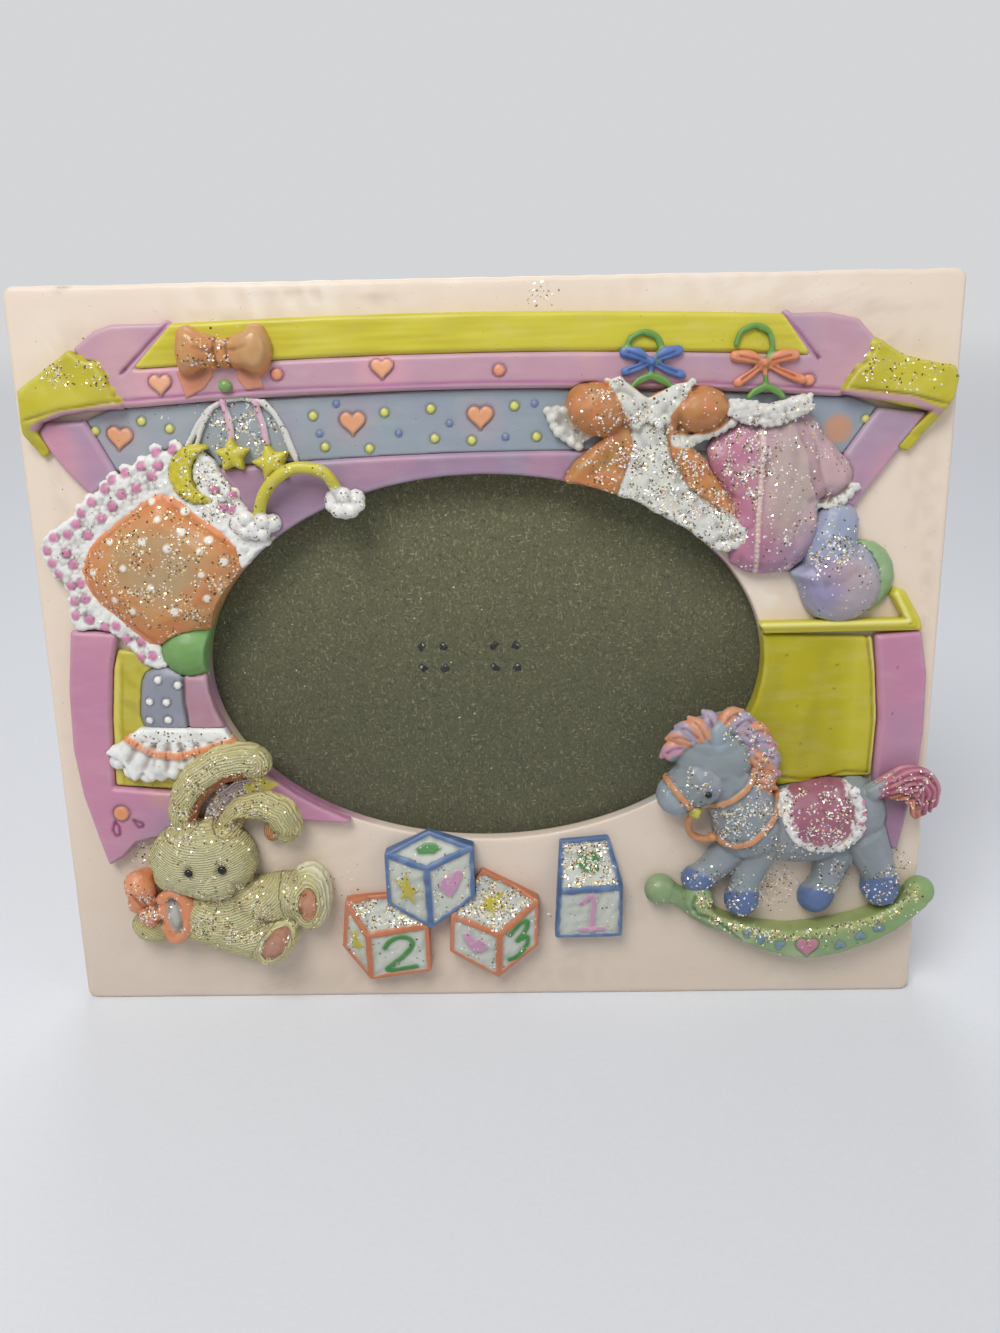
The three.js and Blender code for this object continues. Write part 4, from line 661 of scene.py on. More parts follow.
class Casting:
    """A casting with its CAD piece's shape and any added forms, run together as one skin, then
    worked over and painted by hand. Its measures are millimetres on the plate's face."""

    def __init__(self, node, colour, forms=(), details=(), grain=GRAIN, easing=3, grow=0.16):
        self.node = node
        shape = bmesh.new()
        shape.from_mesh(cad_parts[node].data)
        bmesh.ops.remove_doubles(shape, verts=shape.verts, dist=1e-6)
        shape.verts.index_update()
        cad = (to_face([v.co for v in shape.verts]),
               [[v.index for v in face.verts] for face in shape.faces])
        shape.free()
        self.skin([cad, *forms], grain)
        self.ease(easing)
        if details:
            self.skin([(self.points, self.faces.tolist()), *details], grain)
            self.ease(2)
        self.points += self.normals() * grow
        self.start(colour)

    def start(self, colour):
        """Prime the skin in one colour, without glitter."""
        self.paint = np.tile(tint(colour), (len(self.points), 1))
        self.glitter = np.zeros(len(self.points))
        self.comb = np.zeros(len(self.points))

    def skin(self, forms, grain):
        """Run closed forms together as one skin of even quads. Those after the first stop at the
        floor."""
        starts = np.cumsum([0] + [len(points) for points, _ in forms])
        points = np.vstack([points for points, _ in forms])
        points[starts[1]:, 2] = np.maximum(points[starts[1]:, 2], FLOOR)
        mesh = bpy.data.meshes.new("blank")
        mesh.from_pydata(points, [],
                         [[start + k for k in face] for start, (_, faces) in zip(starts, forms)
                          for face in faces])
        blank = bpy.data.objects.new("blank", mesh)
        scene.collection.objects.link(blank)
        skin = blank.modifiers.new("skin", "REMESH")
        skin.mode, skin.voxel_size, skin.adaptivity = "VOXEL", grain, 0
        skinned = blank.evaluated_get(bpy.context.evaluated_depsgraph_get()).to_mesh()
        self.points = np.empty(len(skinned.vertices) * 3)
        skinned.vertices.foreach_get("co", self.points)
        self.points = self.points.reshape(-1, 3)
        corners = np.empty(len(skinned.loops), np.int64)
        skinned.loops.foreach_get("vertex_index", corners)
        self.faces = corners.reshape(-1, 4)
        edges = np.empty(len(skinned.edges) * 2, np.int64)
        skinned.edges.foreach_get("vertices", edges)
        self.edges = edges.reshape(-1, 2)
        bpy.data.objects.remove(blank)
        bpy.data.meshes.remove(mesh)

    def averaged(self, values):
        """Each point's value made the mean of its neighbours'."""
        first, second = self.edges.T
        count = len(self.points)
        share = np.bincount(first, minlength=count) + np.bincount(second, minlength=count)
        return np.stack([(np.bincount(first, values[second, k], count)
                          + np.bincount(second, values[first, k], count)) / share
                         for k in range(values.shape[1])], 1)

    def ease(self, times):
        """Rub the edges down without shrinking the whole."""
        for _ in range(times):
            for step in (0.6, -0.62):
                self.points = self.points + step * (self.averaged(self.points) - self.points)

    def normals(self):
        a, b, c, d = (self.points[self.faces[:, k]] for k in range(4))
        flat = np.cross(c - a, d - b)
        total = np.stack([sum(np.bincount(self.faces[:, k], flat[:, axis], len(self.points))
                              for k in range(4)) for axis in range(3)], 1)
        return total / (np.linalg.norm(total, axis=1)[:, None] + 1e-12)

    def spot(self, x, y, across, up=None, turn=0):
        """How far points are inside an oval, turned by some degrees. It is negative outside."""
        c, s = math.cos(math.radians(turn)), math.sin(math.radians(turn))
        dx, dy = self.points[:, 0] - x, self.points[:, 1] - y
        up = up or across
        return (1 - np.hypot((c * dx + s * dy) / across, (c * dy - s * dx) / up)) * min(across, up)

    def inside(self, outline):
        return inside(self.points, outline)

    def along(self, run, width):
        """How far points are inside a band along a run. It is negative outside."""
        return width / 2 - beside(self.points, run)[0]

    def lay(self, colour, cover):
        """Brush on a colour, where cover is 1."""
        cover = np.clip(np.broadcast_to(cover, len(self.points)), 0, 1)
        self.paint = self.paint + (tint(colour) - self.paint) * cover[:, None]

    def dab(self, colour, place, edge, amount=1):
        """A soft round patch of a colour, with its place given as for a spot."""
        self.lay(colour, soft(self.spot(*place), edge) * amount)

    def fade(self, start, end):
        """0 at one place and 1 at another, seen from in front."""
        start, end = np.array(start, float), np.array(end, float)
        way = end - start
        return np.clip((self.points[:, :2] - start) @ way / (way @ way), 0, 1)

    def lift(self, cover, height):
        """Raise the skin by a height, where cover is 1."""
        self.points = self.points + self.normals() * (np.asarray(cover) * height)[:, None]

    def badge(self, distance, colour, height=0.45, rim=None, rim_width=0.5):
        """A raised shape in a colour, with a darker line round it."""
        if rim:
            self.lay(rim, soft(distance + rim_width) * 0.85)
            self.lift(soft(distance + rim_width) - soft(distance), -0.15)
        self.lift(soft(distance, 0.6), height)
        self.lay(colour, soft(distance))

    def dots(self, places, radius, *look):
        """A round badge at each of some places."""
        for x, y in places:
            self.badge(self.spot(x, y, radius), *look)

    def scratch(self, run, width=0.7, depth=0.35, colour=None):
        """An engraved line."""
        cover = soft(self.along(run, width), 0.5)
        self.lift(cover, -depth)
        if colour:
            self.lay(colour, cover * 0.8)

    def sprinkle(self, cover, amount):
        """Glitter on what faces forward, thicker where the amount is more."""
        front = np.clip(self.normals()[:, 2] * 2, 0, 1)
        self.glitter = np.maximum(self.glitter, np.clip(cover, 0, 1) * front * amount)

    def dust(self, place, edge, amount):
        """Glitter over a soft round patch, with its place given as for a spot."""
        self.sprinkle(soft(self.spot(*place), edge), amount)

    def wash(self, strength=0.55, reach=10, wear=0.25):
        """Thin dark paint that settles in hollows, and pale wear on what stands proud."""
        eased_points = self.points
        for _ in range(reach):
            eased_points = self.averaged(eased_points)
        hollow = ((eased_points - self.points) * self.normals()).sum(1) / (GRAIN * 0.8)
        dark = np.clip(hollow, 0, 1) * strength
        pale = np.clip(-hollow - 0.25, 0, 0.6) * wear
        self.paint = self.paint * (1 - dark[:, None]) + dark[:, None] * self.paint * tint(WASH_BROWN)
        self.paint = self.paint + (1 - self.paint) * pale[:, None] * 0.6

    def mottle(self, colour, size, seed, amount):
        """Uneven washes of a second colour."""
        self.lay(colour, np.clip(ripple(self.points, size, seed), 0, 1) * amount)

    def settle(self, slot, finish=painted_resin, wash=0.55, gold=0.4):
        """Wash the casting and set it in the frame in place of its CAD piece. Some of its glitter
        is gold, and the rest is clear and pearl."""
        self.wash(wash)
        patches = 0.6 + 0.8 * ripple(self.points, 5, 91) + 0.5 * ripple(self.points, 1.8, 92)
        self.glitter *= np.clip(patches, 0.05, 2)
        made = piece(self.node + "_casting", self.points, self.faces.tolist(), finish, self.paint,
                     glitter=self.glitter, comb=self.comb)
        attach(made, "frame")
        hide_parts(self.node)
        beds.append((self.points, self.faces, self.glitter, gold))


beds = [(plate_points, plate_faces, plate_glitter, 0.5)]


def heart(x, y, width, turn=0):
    t = np.linspace(0, 2 * np.pi, 30, endpoint=False)
    shape = np.stack([16 * np.sin(t) ** 3, 13 * np.cos(t) - 5 * np.cos(2 * t) - 2 * np.cos(3 * t)
                      - np.cos(4 * t) + 2], 1) * width / 32
    c, s = math.cos(math.radians(turn)), math.sin(math.radians(turn))
    return shape @ np.array([[c, s], [-s, c]]) + (x, y)


post = Casting("chest_post_left", PINK)
post.mottle(ROSE, 30, 11, 0.35)
post.lay(LAVENDER, post.fade((-86, 58), (-78, 52)) * 0.75)
post.lay("#cf9a86", post.spot(-82, 58, 5) * 0.12)
post.badge(post.spot(-92.3, 53.3, 1.8), ORANGE, 0.5, MAUVE)
for tear in [[(-94.2, 51.2), (-95, 48.8), (-94.3, 47.2), (-93.3, 47.6), (-93.3, 49.6)],
             [(-89.7, 51.5), (-88.4, 49.4), (-87.2, 49.7), (-87.4, 50.6)]]:
    post.scratch(tear + tear[:1], 0.6, 0.35, "#8d3f6e")
post.settle("orchid")

base = Casting("chest_base_strip", MAUVE)
base.lay(PINK, base.fade((-58, 58), (-40, 51)))
corner = soft(base.inside([(-63, 63.5), (-56, 62.6), (-52.6, 60.4), (-56.4, 57.8), (-63, 58.6)]), 0.7)
base.lay("#c4b84a", corner)
base.sprinkle(corner, 0.8)
base.settle("orchid")

panel = Casting("chest_panel_left", "#bdb23c")
panel.mottle(OCHRE, 5, 12, 0.6)
panel.lay(STRAW, soft(panel.along([(-92.5, 61), (-91.6, 78), (-90, 92)], 1.6)) * 0.6)
panel.scratch([(-91, 62.5), (-90, 78), (-88.6, 91)], 0.6, 0.1, "#b3a62a")
panel.dust((-84, 61.5, 9, 3), 2, 0.12)
panel.settle("yellow")

rim = Casting("chest_rim_right", YELLOW)
# Painted highlight: the raised ridges are painted pale cream where they stand proud.
for run in [[(62, 98.5), (99, 98.9)], [(99.4, 99.2), (96, 105.6)]]:
    ridge = soft(rim.along(run, 0.9), 0.5)
    rim.lift(ridge, 0.35)
    rim.lay("#eee68a", ridge * 0.8)
rim.lay(OCHRE, soft(rim.along([(62, 97.5), (101, 97.6)], 0.6)) * 0.7)
rim.settle("yellow")

panel = Casting("chest_panel_right", "#aea40a")
panel.mottle(OCHRE, 26, 13, 0.4)
panel.mottle("#bdb31c", 12, 14, 0.4)
panel.lay("#97901c", np.clip(ripple(panel.points * (1, 0.35, 1), 7, 16), 0, 1) * 0.35)
for x, y in [(83.6, 88.4), (83.2, 82.6), (83, 72.4), (71.4, 91), (75.8, 68.6), (74.6, 78.2), (88, 66)]:
    panel.dab("#5f5a1c", (x, y, 0.25), 0.3, 0.7)
panel.lay("#c9bf3f", panel.fade((84, 80), (88, 80)) * 0.6)
edge = [(90.3, 95.5), (92, 86), (93, 74), (92.7, 61)]
panel.scratch(edge, 0.7, 0.3, OCHRE)
panel.lay(STRAW, soft(panel.along([(x + 0.9, y) for x, y in edge], 0.9)))
panel.scratch([(70, 60.5), (76, 59.4), (82, 59.6), (87, 61.4), (92.7, 61)], 0.7, 0.3, OCHRE)
panel.settle("yellow")

post = Casting("chest_post_right", PINK)
post.mottle(LAVENDER, 22, 15, 0.4)
# Painted shadow: the post darkens towards its foot, under the horse's tail.
post.lay("#94728c", post.fade((100, 64), (98, 56)) * 0.9)
for x, y in [(97.6, 87.8), (97.2, 76.4)]:
    post.dab("#5d4453", (x, y, 0.25), 0.3, 0.7)
post.settle("orchid")

# Lid: a shallow lining, the front and top bands that stand forward of it, and moulded corner
# caps, all resin castings bonded to the plate. Hearts and dots are raised on the lining and the
# front band, and painted.
BLUE_GREY = "#98a1a8"
LINING_HEARTS = [(-84, 144.2, -8), (-30.1, 146.6, 0), (-0.8, 147.4, 0)]
LINING_DOTS = [(-89.5, 146), (-78.6, 148), (-72.3, 146.2), (-39.1, 148.5), (-36.7, 141.5), (-26.5, 141),
               (-22.7, 149), (-12.1, 149.6), (-11.4, 143), (-2.9, 142.4), (7, 149.9), (12, 143),
               (87, 145.6)]
SMALL_DOTS = [(-33.6, 151.1), (-37.8, 144.5), (-19.6, 144.3), (-7.9, 146.3), (11.6, 150.4), (4.9, 143)]
lining = Casting("lid_lining", BLUE_GREY, grain=0.36)
lining.mottle("#9d9aab", 16, 21, 0.7)
lining.mottle("#96a6ac", 11, 22, 0.5)
lining.lay("#8a98a6", lining.fade((-50, 143), (-5, 141)) * 0.6)
# Painted shadow: the lining darkens away from a middle band, most under the front band that stands over
# its top edge.
lining.lay("#7f8b8a", soft(-lining.spot(-58, 146, 200, 8.5), 4) * 0.35)
for x, y, turn in LINING_HEARTS:
    lining.dab("#a79aa6", (x, y, 5.5), 4, 0.5)
    lining.badge(lining.inside(heart(x, y, 5.6, turn)), "#dd9a70", 0.45, "#97736f")
lining.dab("#c98f6f", (80.8, 143.6, 3.2), 2.2, 0.85)
lining.dots(LINING_DOTS, 0.85, "#d3d263", 0.4, "#7e8a63", 0.4)
lining.dots(SMALL_DOTS, 0.6, "#6c7fae", 0.3, "#5d6a8d", 0.3)
lining.dust((-70, 149, 12, 3), 3, 0.08)
lining.dust((-55.5, 146, 8, 6), 4, 1.6)
lining.settle("lining_blue")

strip = Casting("lid_hinge_strip", "#9a7d98")
strip.mottle("#97879f", 14, 23, 0.8)
strip.mottle("#b2849a", 18, 24, 0.6)
strip.settle("orchid")

for side, shine in (("left", (-98, 138)), ("right", (93, 131))):
    end = Casting("lid_side_" + side, "#a98ea6")
    end.mottle(PINK, 13, 25, 0.8)
    end.dab(ROSE, (*shine, 5, 9), 5, 0.7)
    end.settle("orchid")

band = Casting("lid_front_band", "#bf95a6", [
    roll([(-70.4, 168.6, 1.9), (-75, 164.4, 1.9), (-79.8, 159.4, 1.9)], 1.2),
    roll([(67.4, 168.2, 1.9), (71, 164.2, 1.9), (74.2, 159.8, 1.9)], 1.2)])
band.mottle(LAVENDER, 25, 26, 0.5)
band.mottle("#cfa4a8", 20, 27, 0.5)
for x, y in [(-72.8, 155.8), (-22.6, 158.4)]:
    band.dab("#dca0b0", (x, y, 6), 5, 0.5)
    band.badge(band.inside(heart(x, y, 4.8)), "#e8a67c", 0.5, "#a3627f")
band.dots([(-46.3, 157.7), (3.7, 157.7), (73, 154.3)], 1.15, "#e29068", 0.45, "#a3627f")
for run in [[(-70, 169), (-75, 164.5), (-81.5, 158.5)], [(66.5, 168.5), (70.5, 164.5), (75, 159)]]:
    band.scratch(run, 0.8, 0.4, "#a35f8c")
band.scratch([(-82, 152.6), (-50, 154.4), (0, 155.2), (50, 154.2), (80, 152.2)], 0.7, 0.2, "#b06d9b")
band.settle("orchid")

top = Casting("lid_top_band", YELLOW)
streak = ripple(top.points * (0.12, 1, 1), 2.2, 28)
top.lay("#b7ac2a", np.clip(streak, 0, 1) * 0.5)
top.lay("#d8cf4c", np.clip(-streak, 0, 1) * 0.5)
top.dab("#d2c948", (30, 166, 30, 5), 6, 0.4)
top.dust((-55, 165.6, 8, 3), 3, 0.08)
top.settle("yellow")

CAPS = {"left": (-1, [(-90.4, 161.4), (-87.2, 160.2), (-85.8, 157.8), (-84.4, 154.6), (-83, 152.4)]),
        "right": (1, [(87.4, 161.6), (86.4, 159), (84.2, 156.6), (82.6, 154.4), (81.6, 152.6)])}
for side, (sense, lobes) in CAPS.items():
    cap = Casting("lid_corner_" + side, "#bdb229",
                  [pebble((x, y, 1.9), (1.7, 1.6, 1.7)) for x, y in lobes], easing=5)
    tip = np.clip((148 - cap.points[:, 1]) / 6, 0, 1)
    cap.points[:, 2] *= 1 - 0.62 * tip
    cap.lift(ripple(cap.points, 8, 30), 0.12)
    cap.mottle(OCHRE, 12, 29, 0.4)
    cap.mottle("#a89d22", 3, 19, 0.25)
    cap.dab("#d3c943", (sense * 96, 155, 9, 4), 5, 0.5)
    cap.scratch([(sense * 104.2, 148.6), (sense * 96, 150.8), (sense * 82, 152.6)], 0.6, 0.3, OCHRE)
    under = [(sense * 102.6, 146.8), (sense * 96, 149.6), (sense * 81, 151.4)]
    cap.lay("#b98d98", soft(cap.along(under, 1.5), 0.5))
    cap.dust((sense * 92, 159 if sense < 0 else 157, 12, 4), 5, 0.8)
    cap.settle("yellow", gold=0.8)

# Pillow and its lace: a plump cushion bonded on a deep lace edge, both cast in resin, with corded
# piping round the seam, raised white dots on the pillow and pink dots along the lace.
LACE_DOTS = [(-75.5, 141), (-71.5, 141.6), (-79, 138), (-75, 138), (-83, 136.5), (-76.6, 135.7),
             (-86, 135), (-80.5, 133), (-88, 133), (-84, 131.7), (-91.3, 130), (-86.5, 129),
             (-94, 127.6), (-89.3, 126.3), (-95.5, 125), (-97.6, 122.7), (-93, 122.4), (-101, 122),
             (-103, 119), (-98.5, 118.3), (-97.2, 115.6), (-102, 116), (-101, 113.3), (-98.4, 110.6),
             (-95.8, 111.2), (-98, 106.8), (-95.2, 107.4), (-98, 103.5), (-94.8, 102.4), (-91.3, 100.5),
             (-88.5, 100.8), (-86.5, 97.6), (-83, 97), (-83.5, 93), (-80.5, 93.4), (-58.5, 131),
             (-60.9, 128.3), (-59, 127.9), (-62.5, 132.5)]
PILLOW_DOTS = [(-83, 129.4), (-77, 130), (-75.2, 126), (-70, 123), (-87, 121), (-79, 121),
               (-73.3, 119.4), (-66, 118.5), (-61, 116), (-84, 115), (-66, 113.2), (-78, 110.4),
               (-87, 107.5), (-65.4, 107.5), (-83, 104.8), (-73, 104.6), (-69.5, 127.6), (-91.5, 114),
               (-64, 121)]
PILLOW_SEAM = [(-95, 114), (-92.5, 120), (-85, 126), (-77.5, 131), (-74, 132), (-66, 126), (-58, 119.5)]
PILLOW_SEAM_BELOW = [(-95, 114), (-93.5, 108), (-88, 102.5), (-79, 95)]


def studs(area, spacing):
    """Uneven rows of places over an area: left, bottom, right and top."""
    left, bottom, right, high = area
    return np.array([(x + (row % 2) * spacing / 2, y)
                     for row, y in enumerate(np.arange(bottom, high, spacing * 0.87))
                     for x in np.arange(left, right, spacing)])


def lumps(points, places, seed, wander):
    """How near each point is to its nearest place, after the places have wandered a little."""
    draw = np.random.default_rng(seed)
    places = places + draw.uniform(-wander, wander, places.shape)
    best = np.full(len(points), 1e9)
    for x, y in places:
        best = np.minimum(best, np.hypot(points[:, 0] - x, points[:, 1] - y))
    return best


LACE_MIDDLE = np.array([-76, 114])
frills = []
for dot in np.array(LACE_DOTS):
    way = (dot - LACE_MIDDLE) / np.linalg.norm(dot - LACE_MIDDLE)
    if np.linalg.norm((dot - LACE_MIDDLE) / (1, 1.05)) > 21.5:
        frills.append(pebble((*(dot + 0.8 * way), 1.5), (1.4, 1.2, 0.9), 40 * len(frills)))
lace = Casting("pillow_lace", WHITE, frills, grain=0.38)
knots = lumps(lace.points, studs((-108, 88, -48, 145), 1.3), 31, 0.4)
lace.lift(np.clip(1 - knots / 0.65, -0.5, 1), 0.22)
lace.lift(ripple(lace.points, 6, 32), 0.25)
lace.lay("#c3c7c4", np.clip(ripple(lace.points, 3, 33), 0, 1) * 0.7)
lace.dots(LACE_DOTS, 0.95, "#c879a0", 0.3, "#d3b4c2", 0.35)
lace.dust((-63, 132, 6, 7), 3, 1.6)
lace.sprinkle(0.6 + 0.4 * ripple(lace.points, 9, 34), 0.12)
lace_resin = resin("lace_resin", 0.55, 0.05, 0.00008)
lace.settle("lace_white", lace_resin, 0.8)

pillow = Casting("pillow", "#cf7c40")
pillow.dab("#bf8e5c", (-74, 113, 17, 13, -20), 9)
pillow.dab("#a89a7a", (-76, 114, 9, 7, -20), 7, 0.6)
pillow.mottle("#c96e33", 9, 35, 0.5)
for run in (PILLOW_SEAM, PILLOW_SEAM_BELOW):
    cover = soft(pillow.along(run, 1.7), 0.9)
    pillow.lift(cover, 0.45)
    pillow.lay("#e08a55", cover)
pillow.lift(ripple(pillow.points, 14, 36), 0.25)
for x, y in PILLOW_DOTS:
    pillow.badge(pillow.spot(x, y, 0.75 + 0.1 * (round(x) % 3)), "#ece6dc", 0.22)
pillow.sprinkle(soft(pillow.spot(-74, 113, 19, 14, -20), 8) + 0.15, 0.75)
pillow.settle("orange", gold=0.75)

# Ball, folded blanket and lace-edged cloth: resin castings that look to hang out of the chest,
# under the pillow. The cloth has a twisted cord along its top and flutes down to its hem.
green_ball = Casting("ball_left", "#6f9c55", easing=4)
green_ball.mottle("#7db26a", 12, 37, 0.6)
green_ball.settle("ball_green")

blanket = Casting("blanket", "#888d99")
blanket.lay("#ae818f", soft(blanket.points[:, 0] + 73.6, 0.6))
blanket.mottle("#a79ab0", 10, 38, 0.4)
blanket.scratch([(-73.6, 92), (-73.8, 82), (-73.4, 74)], 0.9, 0.5, "#6d6670")
blanket.dots([(-79.7, 87.5), (-75, 86.2), (-82.3, 82.1), (-78.1, 82), (-82.8, 77.4), (-78.1, 77.5)],
             0.85, "#eceae6", 0.45, "#6f7480", 0.4)
blanket.settle("blanket_grey")

CORD = [(-88.5, 73), (-85, 70.8), (-82, 69.2), (-76, 68.4), (-70, 69.9), (-64.5, 71.6), (-58, 72.5)]
flutes = [pebble((x, y, 3.2), (2.2, 1.9, 1.5)) for x, y in
          [(-86.8, 66.6), (-82.6, 64.9), (-78.6, 64.3), (-91.3, 69.4)]]
lobes = [pebble((x, y, 2.6), (2, 1.9, 1.4)) for x, y in
         [(-91.9, 66.8), (-88.8, 64.3), (-85, 63.2), (-81.4, 63.6), (-78.2, 64)]]
trim = Casting("lace_trim", WHITE, flutes + lobes, grain=0.36, easing=10)
fold = np.sin(beside(trim.points, CORD)[1] * 52)
hem = soft(trim.along(CORD, 14), 8) * (trim.points[:, 1] < 72)
trim.lift(fold * hem, 0.3)
cover = soft(trim.along(CORD, 1.9), 0.5)
trim.lift(cover, 0.5)
twist = np.sin(beside(trim.points, CORD)[1] * 190)
trim.lift(cover * twist, 0.14)
trim.lay("#df8a58", cover)
trim.lay("#f0a67c", cover * np.clip(twist, 0, 1) * 0.6)
trim.mottle("#c4c8c6", 5, 39, 0.5)
trim.dust((-76, 71, 13, 5), 4, 0.4)
trim.settle("lace_white", lace_resin, 0.7)

# Mobile: a moon, two stars and a rainbow with cloud ends, on strings drawn up to the lid's bow.
# They are small resin castings bonded on over the lid, with glitter in their paint.
strings = Casting("mobile_strings", "#d3d2cf", [
    roll([(-59.5, 152.4, 2.2), (-58.6, 148, 1.9), (-58.2, 143.6, 1.9)], 0.42),
    roll([(-52, 152, 2.2), (-50.8, 147, 1.9), (-50, 142, 1.9)], 0.42),
    roll([(-62, 150.6, 1.9), (-64.5, 146.6, 1.8), (-66.5, 141.5, 1.8)], [0.4, 0.4, 0.38]),
    roll([(-50, 152, 2), (-47, 148, 1.9), (-44.6, 141, 1.8), (-43.4, 138.6, 1.8)], 0.42),
], grain=0.3)
strings.lay("#d6a6bd", soft(strings.along([(-59.5, 152.4), (-58.2, 143.6)], 1.6)))
strings.lay("#d6a6bd", soft(strings.along([(-52, 152), (-50, 142)], 1.6)))
strings.sprinkle(1, 0.6)
strings.settle("lace_white", lace_resin, 0.4)

moon = Casting("moon", YELLOW, grain=0.32, easing=5)
moon.lift(ripple(moon.points, 2.2, 41), 0.1)
moon.mottle(OCHRE, 4, 42, 0.5)
moon.sprinkle(1, 1.2)
moon.settle("yellow", gold=0.8)

for side, x, y in (("left", -57.8, 140), ("right", -48.8, 138.2)):
    star = Casting("star_" + side, YELLOW, grain=0.3)
    away = np.hypot(star.points[:, 0] - x, star.points[:, 1] - y)
    star.lift(np.clip(1 - away / 4, 0, 1), 0.6)
    star.mottle(OCHRE, 4, 43, 0.4)
    star.sprinkle(1, 0.35)
    star.settle("yellow")

CLOUDS = [(-57.3, 124.3, 2.3), (-53.8, 123.2, 2.8), (-49.8, 124.5, 2.2),
          (-35, 129.8, 2.2), (-32.4, 127.8, 2.8), (-30, 129.8, 2.2)]
PUFFS = [(-55.6, 125.8, 3.8, 1.7), (-51.6, 125, 3.9, 1.8), (-52, 122.2, 3.6, 1.7),
         (-56, 122.6, 3.4, 1.6), (-34, 127.2, 3.6, 1.7), (-31, 127.2, 3.8, 1.7), (-32.6, 130.6, 4, 1.8),
         (-35.4, 128.4, 3.2, 1.6), (-29.4, 128.4, 3.2, 1.5)]
ARCH = [(-53.2, 123.9, 3), (-51, 130.5, 5.2), (-48, 134.3, 6.2), (-44, 136.8, 6.4), (-40, 137, 6.4),
        (-36, 135.5, 6), (-32.6, 128.9, 3)]
rainbow = Casting("rainbow", YELLOW,
                  [pebble((x, y, z), (r, r, r)) for x, y, z, r in PUFFS] + [roll(ARCH, 1.25)],
                  grain=0.32, easing=5)
arch = np.array(ARCH)[:, :2]
cloud = np.maximum.reduce([rainbow.spot(x, y, r + 0.35) for x, y, r in CLOUDS]
                          + [rainbow.spot(x, y, r + 0.3) for x, y, _, r in PUFFS])
cloud = soft(cloud) * soft(1.15 - rainbow.along(arch[1:-1], 2.6), 0.4)
rainbow.lay("#e9e9e6", cloud)
rainbow.mottle("#b9b9b2", 3, 44, 0.25)
rainbow.sprinkle(1 - cloud, 0.25)
rainbow.sprinkle(cloud, 0.5)
rainbow.settle("yellow")

# Bow on the lid: two plump loops drawn into a knot, with flat tails and a green bead under them.
# It is one resin casting in a glossy orange, bonded to the lid's bands.
LID_TAILS = [[(-69, 158.6), (-65.6, 157.6), (-60.4, 160), (-60.6, 157.6), (-63, 154.8), (-67.2, 152.8)],
             [(-55, 160.2), (-50, 157), (-49.4, 154.8), (-53.6, 154.4), (-55.4, 157)]]
bow = Casting("bow_top", "#c8874f", [
    pebble((-65.8, 166.2, 3), (2.4, 2.3, 3.4)), pebble((-66, 160.2, 3), (2.4, 2.4, 3.4)),
    pebble((-50.4, 166.4, 3), (2.4, 2.3, 3.4)), pebble((-50.2, 160, 3), (2.4, 2.5, 3.4)),
    roll([(-65, 163.2, 3), (-62, 162.8, 3.1), (-57.8, 162.3, 2.9), (-53.8, 162.8, 3.1),
          (-51.2, 163.2, 3)], [3.4, 3.9, 3.1, 3.9, 3.4])], easing=4)
knot = np.hypot(bow.points[:, 0] + 57.6, (bow.points[:, 1] - 162.5) / 1.4)
bow.points[:, 2] -= np.clip(bow.points[:, 2] - 6.2, 0, 9) * np.clip(1.6 - knot / 3.4, 0, 1) * 0.85
bow.ease(12)
bow.skin([(bow.points, bow.faces.tolist()), pebble((-58, 155.4, 3.8), (1.6, 1.5, 1.3))]
         + [slab(tail, 2, 3.6) for tail in LID_TAILS], GRAIN)
bow.ease(2)
bow.start("#c8874f")
for x in (-59.1, -56.3):
    bow.scratch([(x, 166), (x - 0.3, 162.6), (x + 0.1, 159)], 0.7, 0.28, "#9c5f35")
for run in [[(-63.4, 163.4), (-61.4, 163), (-59.6, 162.8)],
            [(-52, 163.6), (-53.8, 163.2), (-55.8, 163)]]:
    bow.scratch(through(run, 12), 0.8, 0.18, "#ad6b38")
# Painted highlight: paler patches on the two loops, where they catch the light.
bow.dab("#c39a66", (-50.5, 163.5, 5, 4.5), 4, 0.8)
bow.dab("#c4955c", (-66.5, 163.4, 3, 4), 3, 0.6)
tails = soft(np.maximum(*[bow.inside(tail) for tail in LID_TAILS]) + 0.4)
bow.lay("#cb8468", tails * soft(4.4 - bow.points[:, 2], 0.5))
bow.lay("#6f9a4c", soft(bow.spot(-58, 155.4, 1.9), 0.5) * (bow.points[:, 1] < 157.2))
bow.dust((-62, 162.6, 5, 3), 2, 1.2)
bow.dust((-58, 162.4, 2.4, 3), 1.5, 1.6)
glossy_resin = resin("glossy_resin", 0.24)
bow.settle("orange", glossy_resin, gold=0.6)

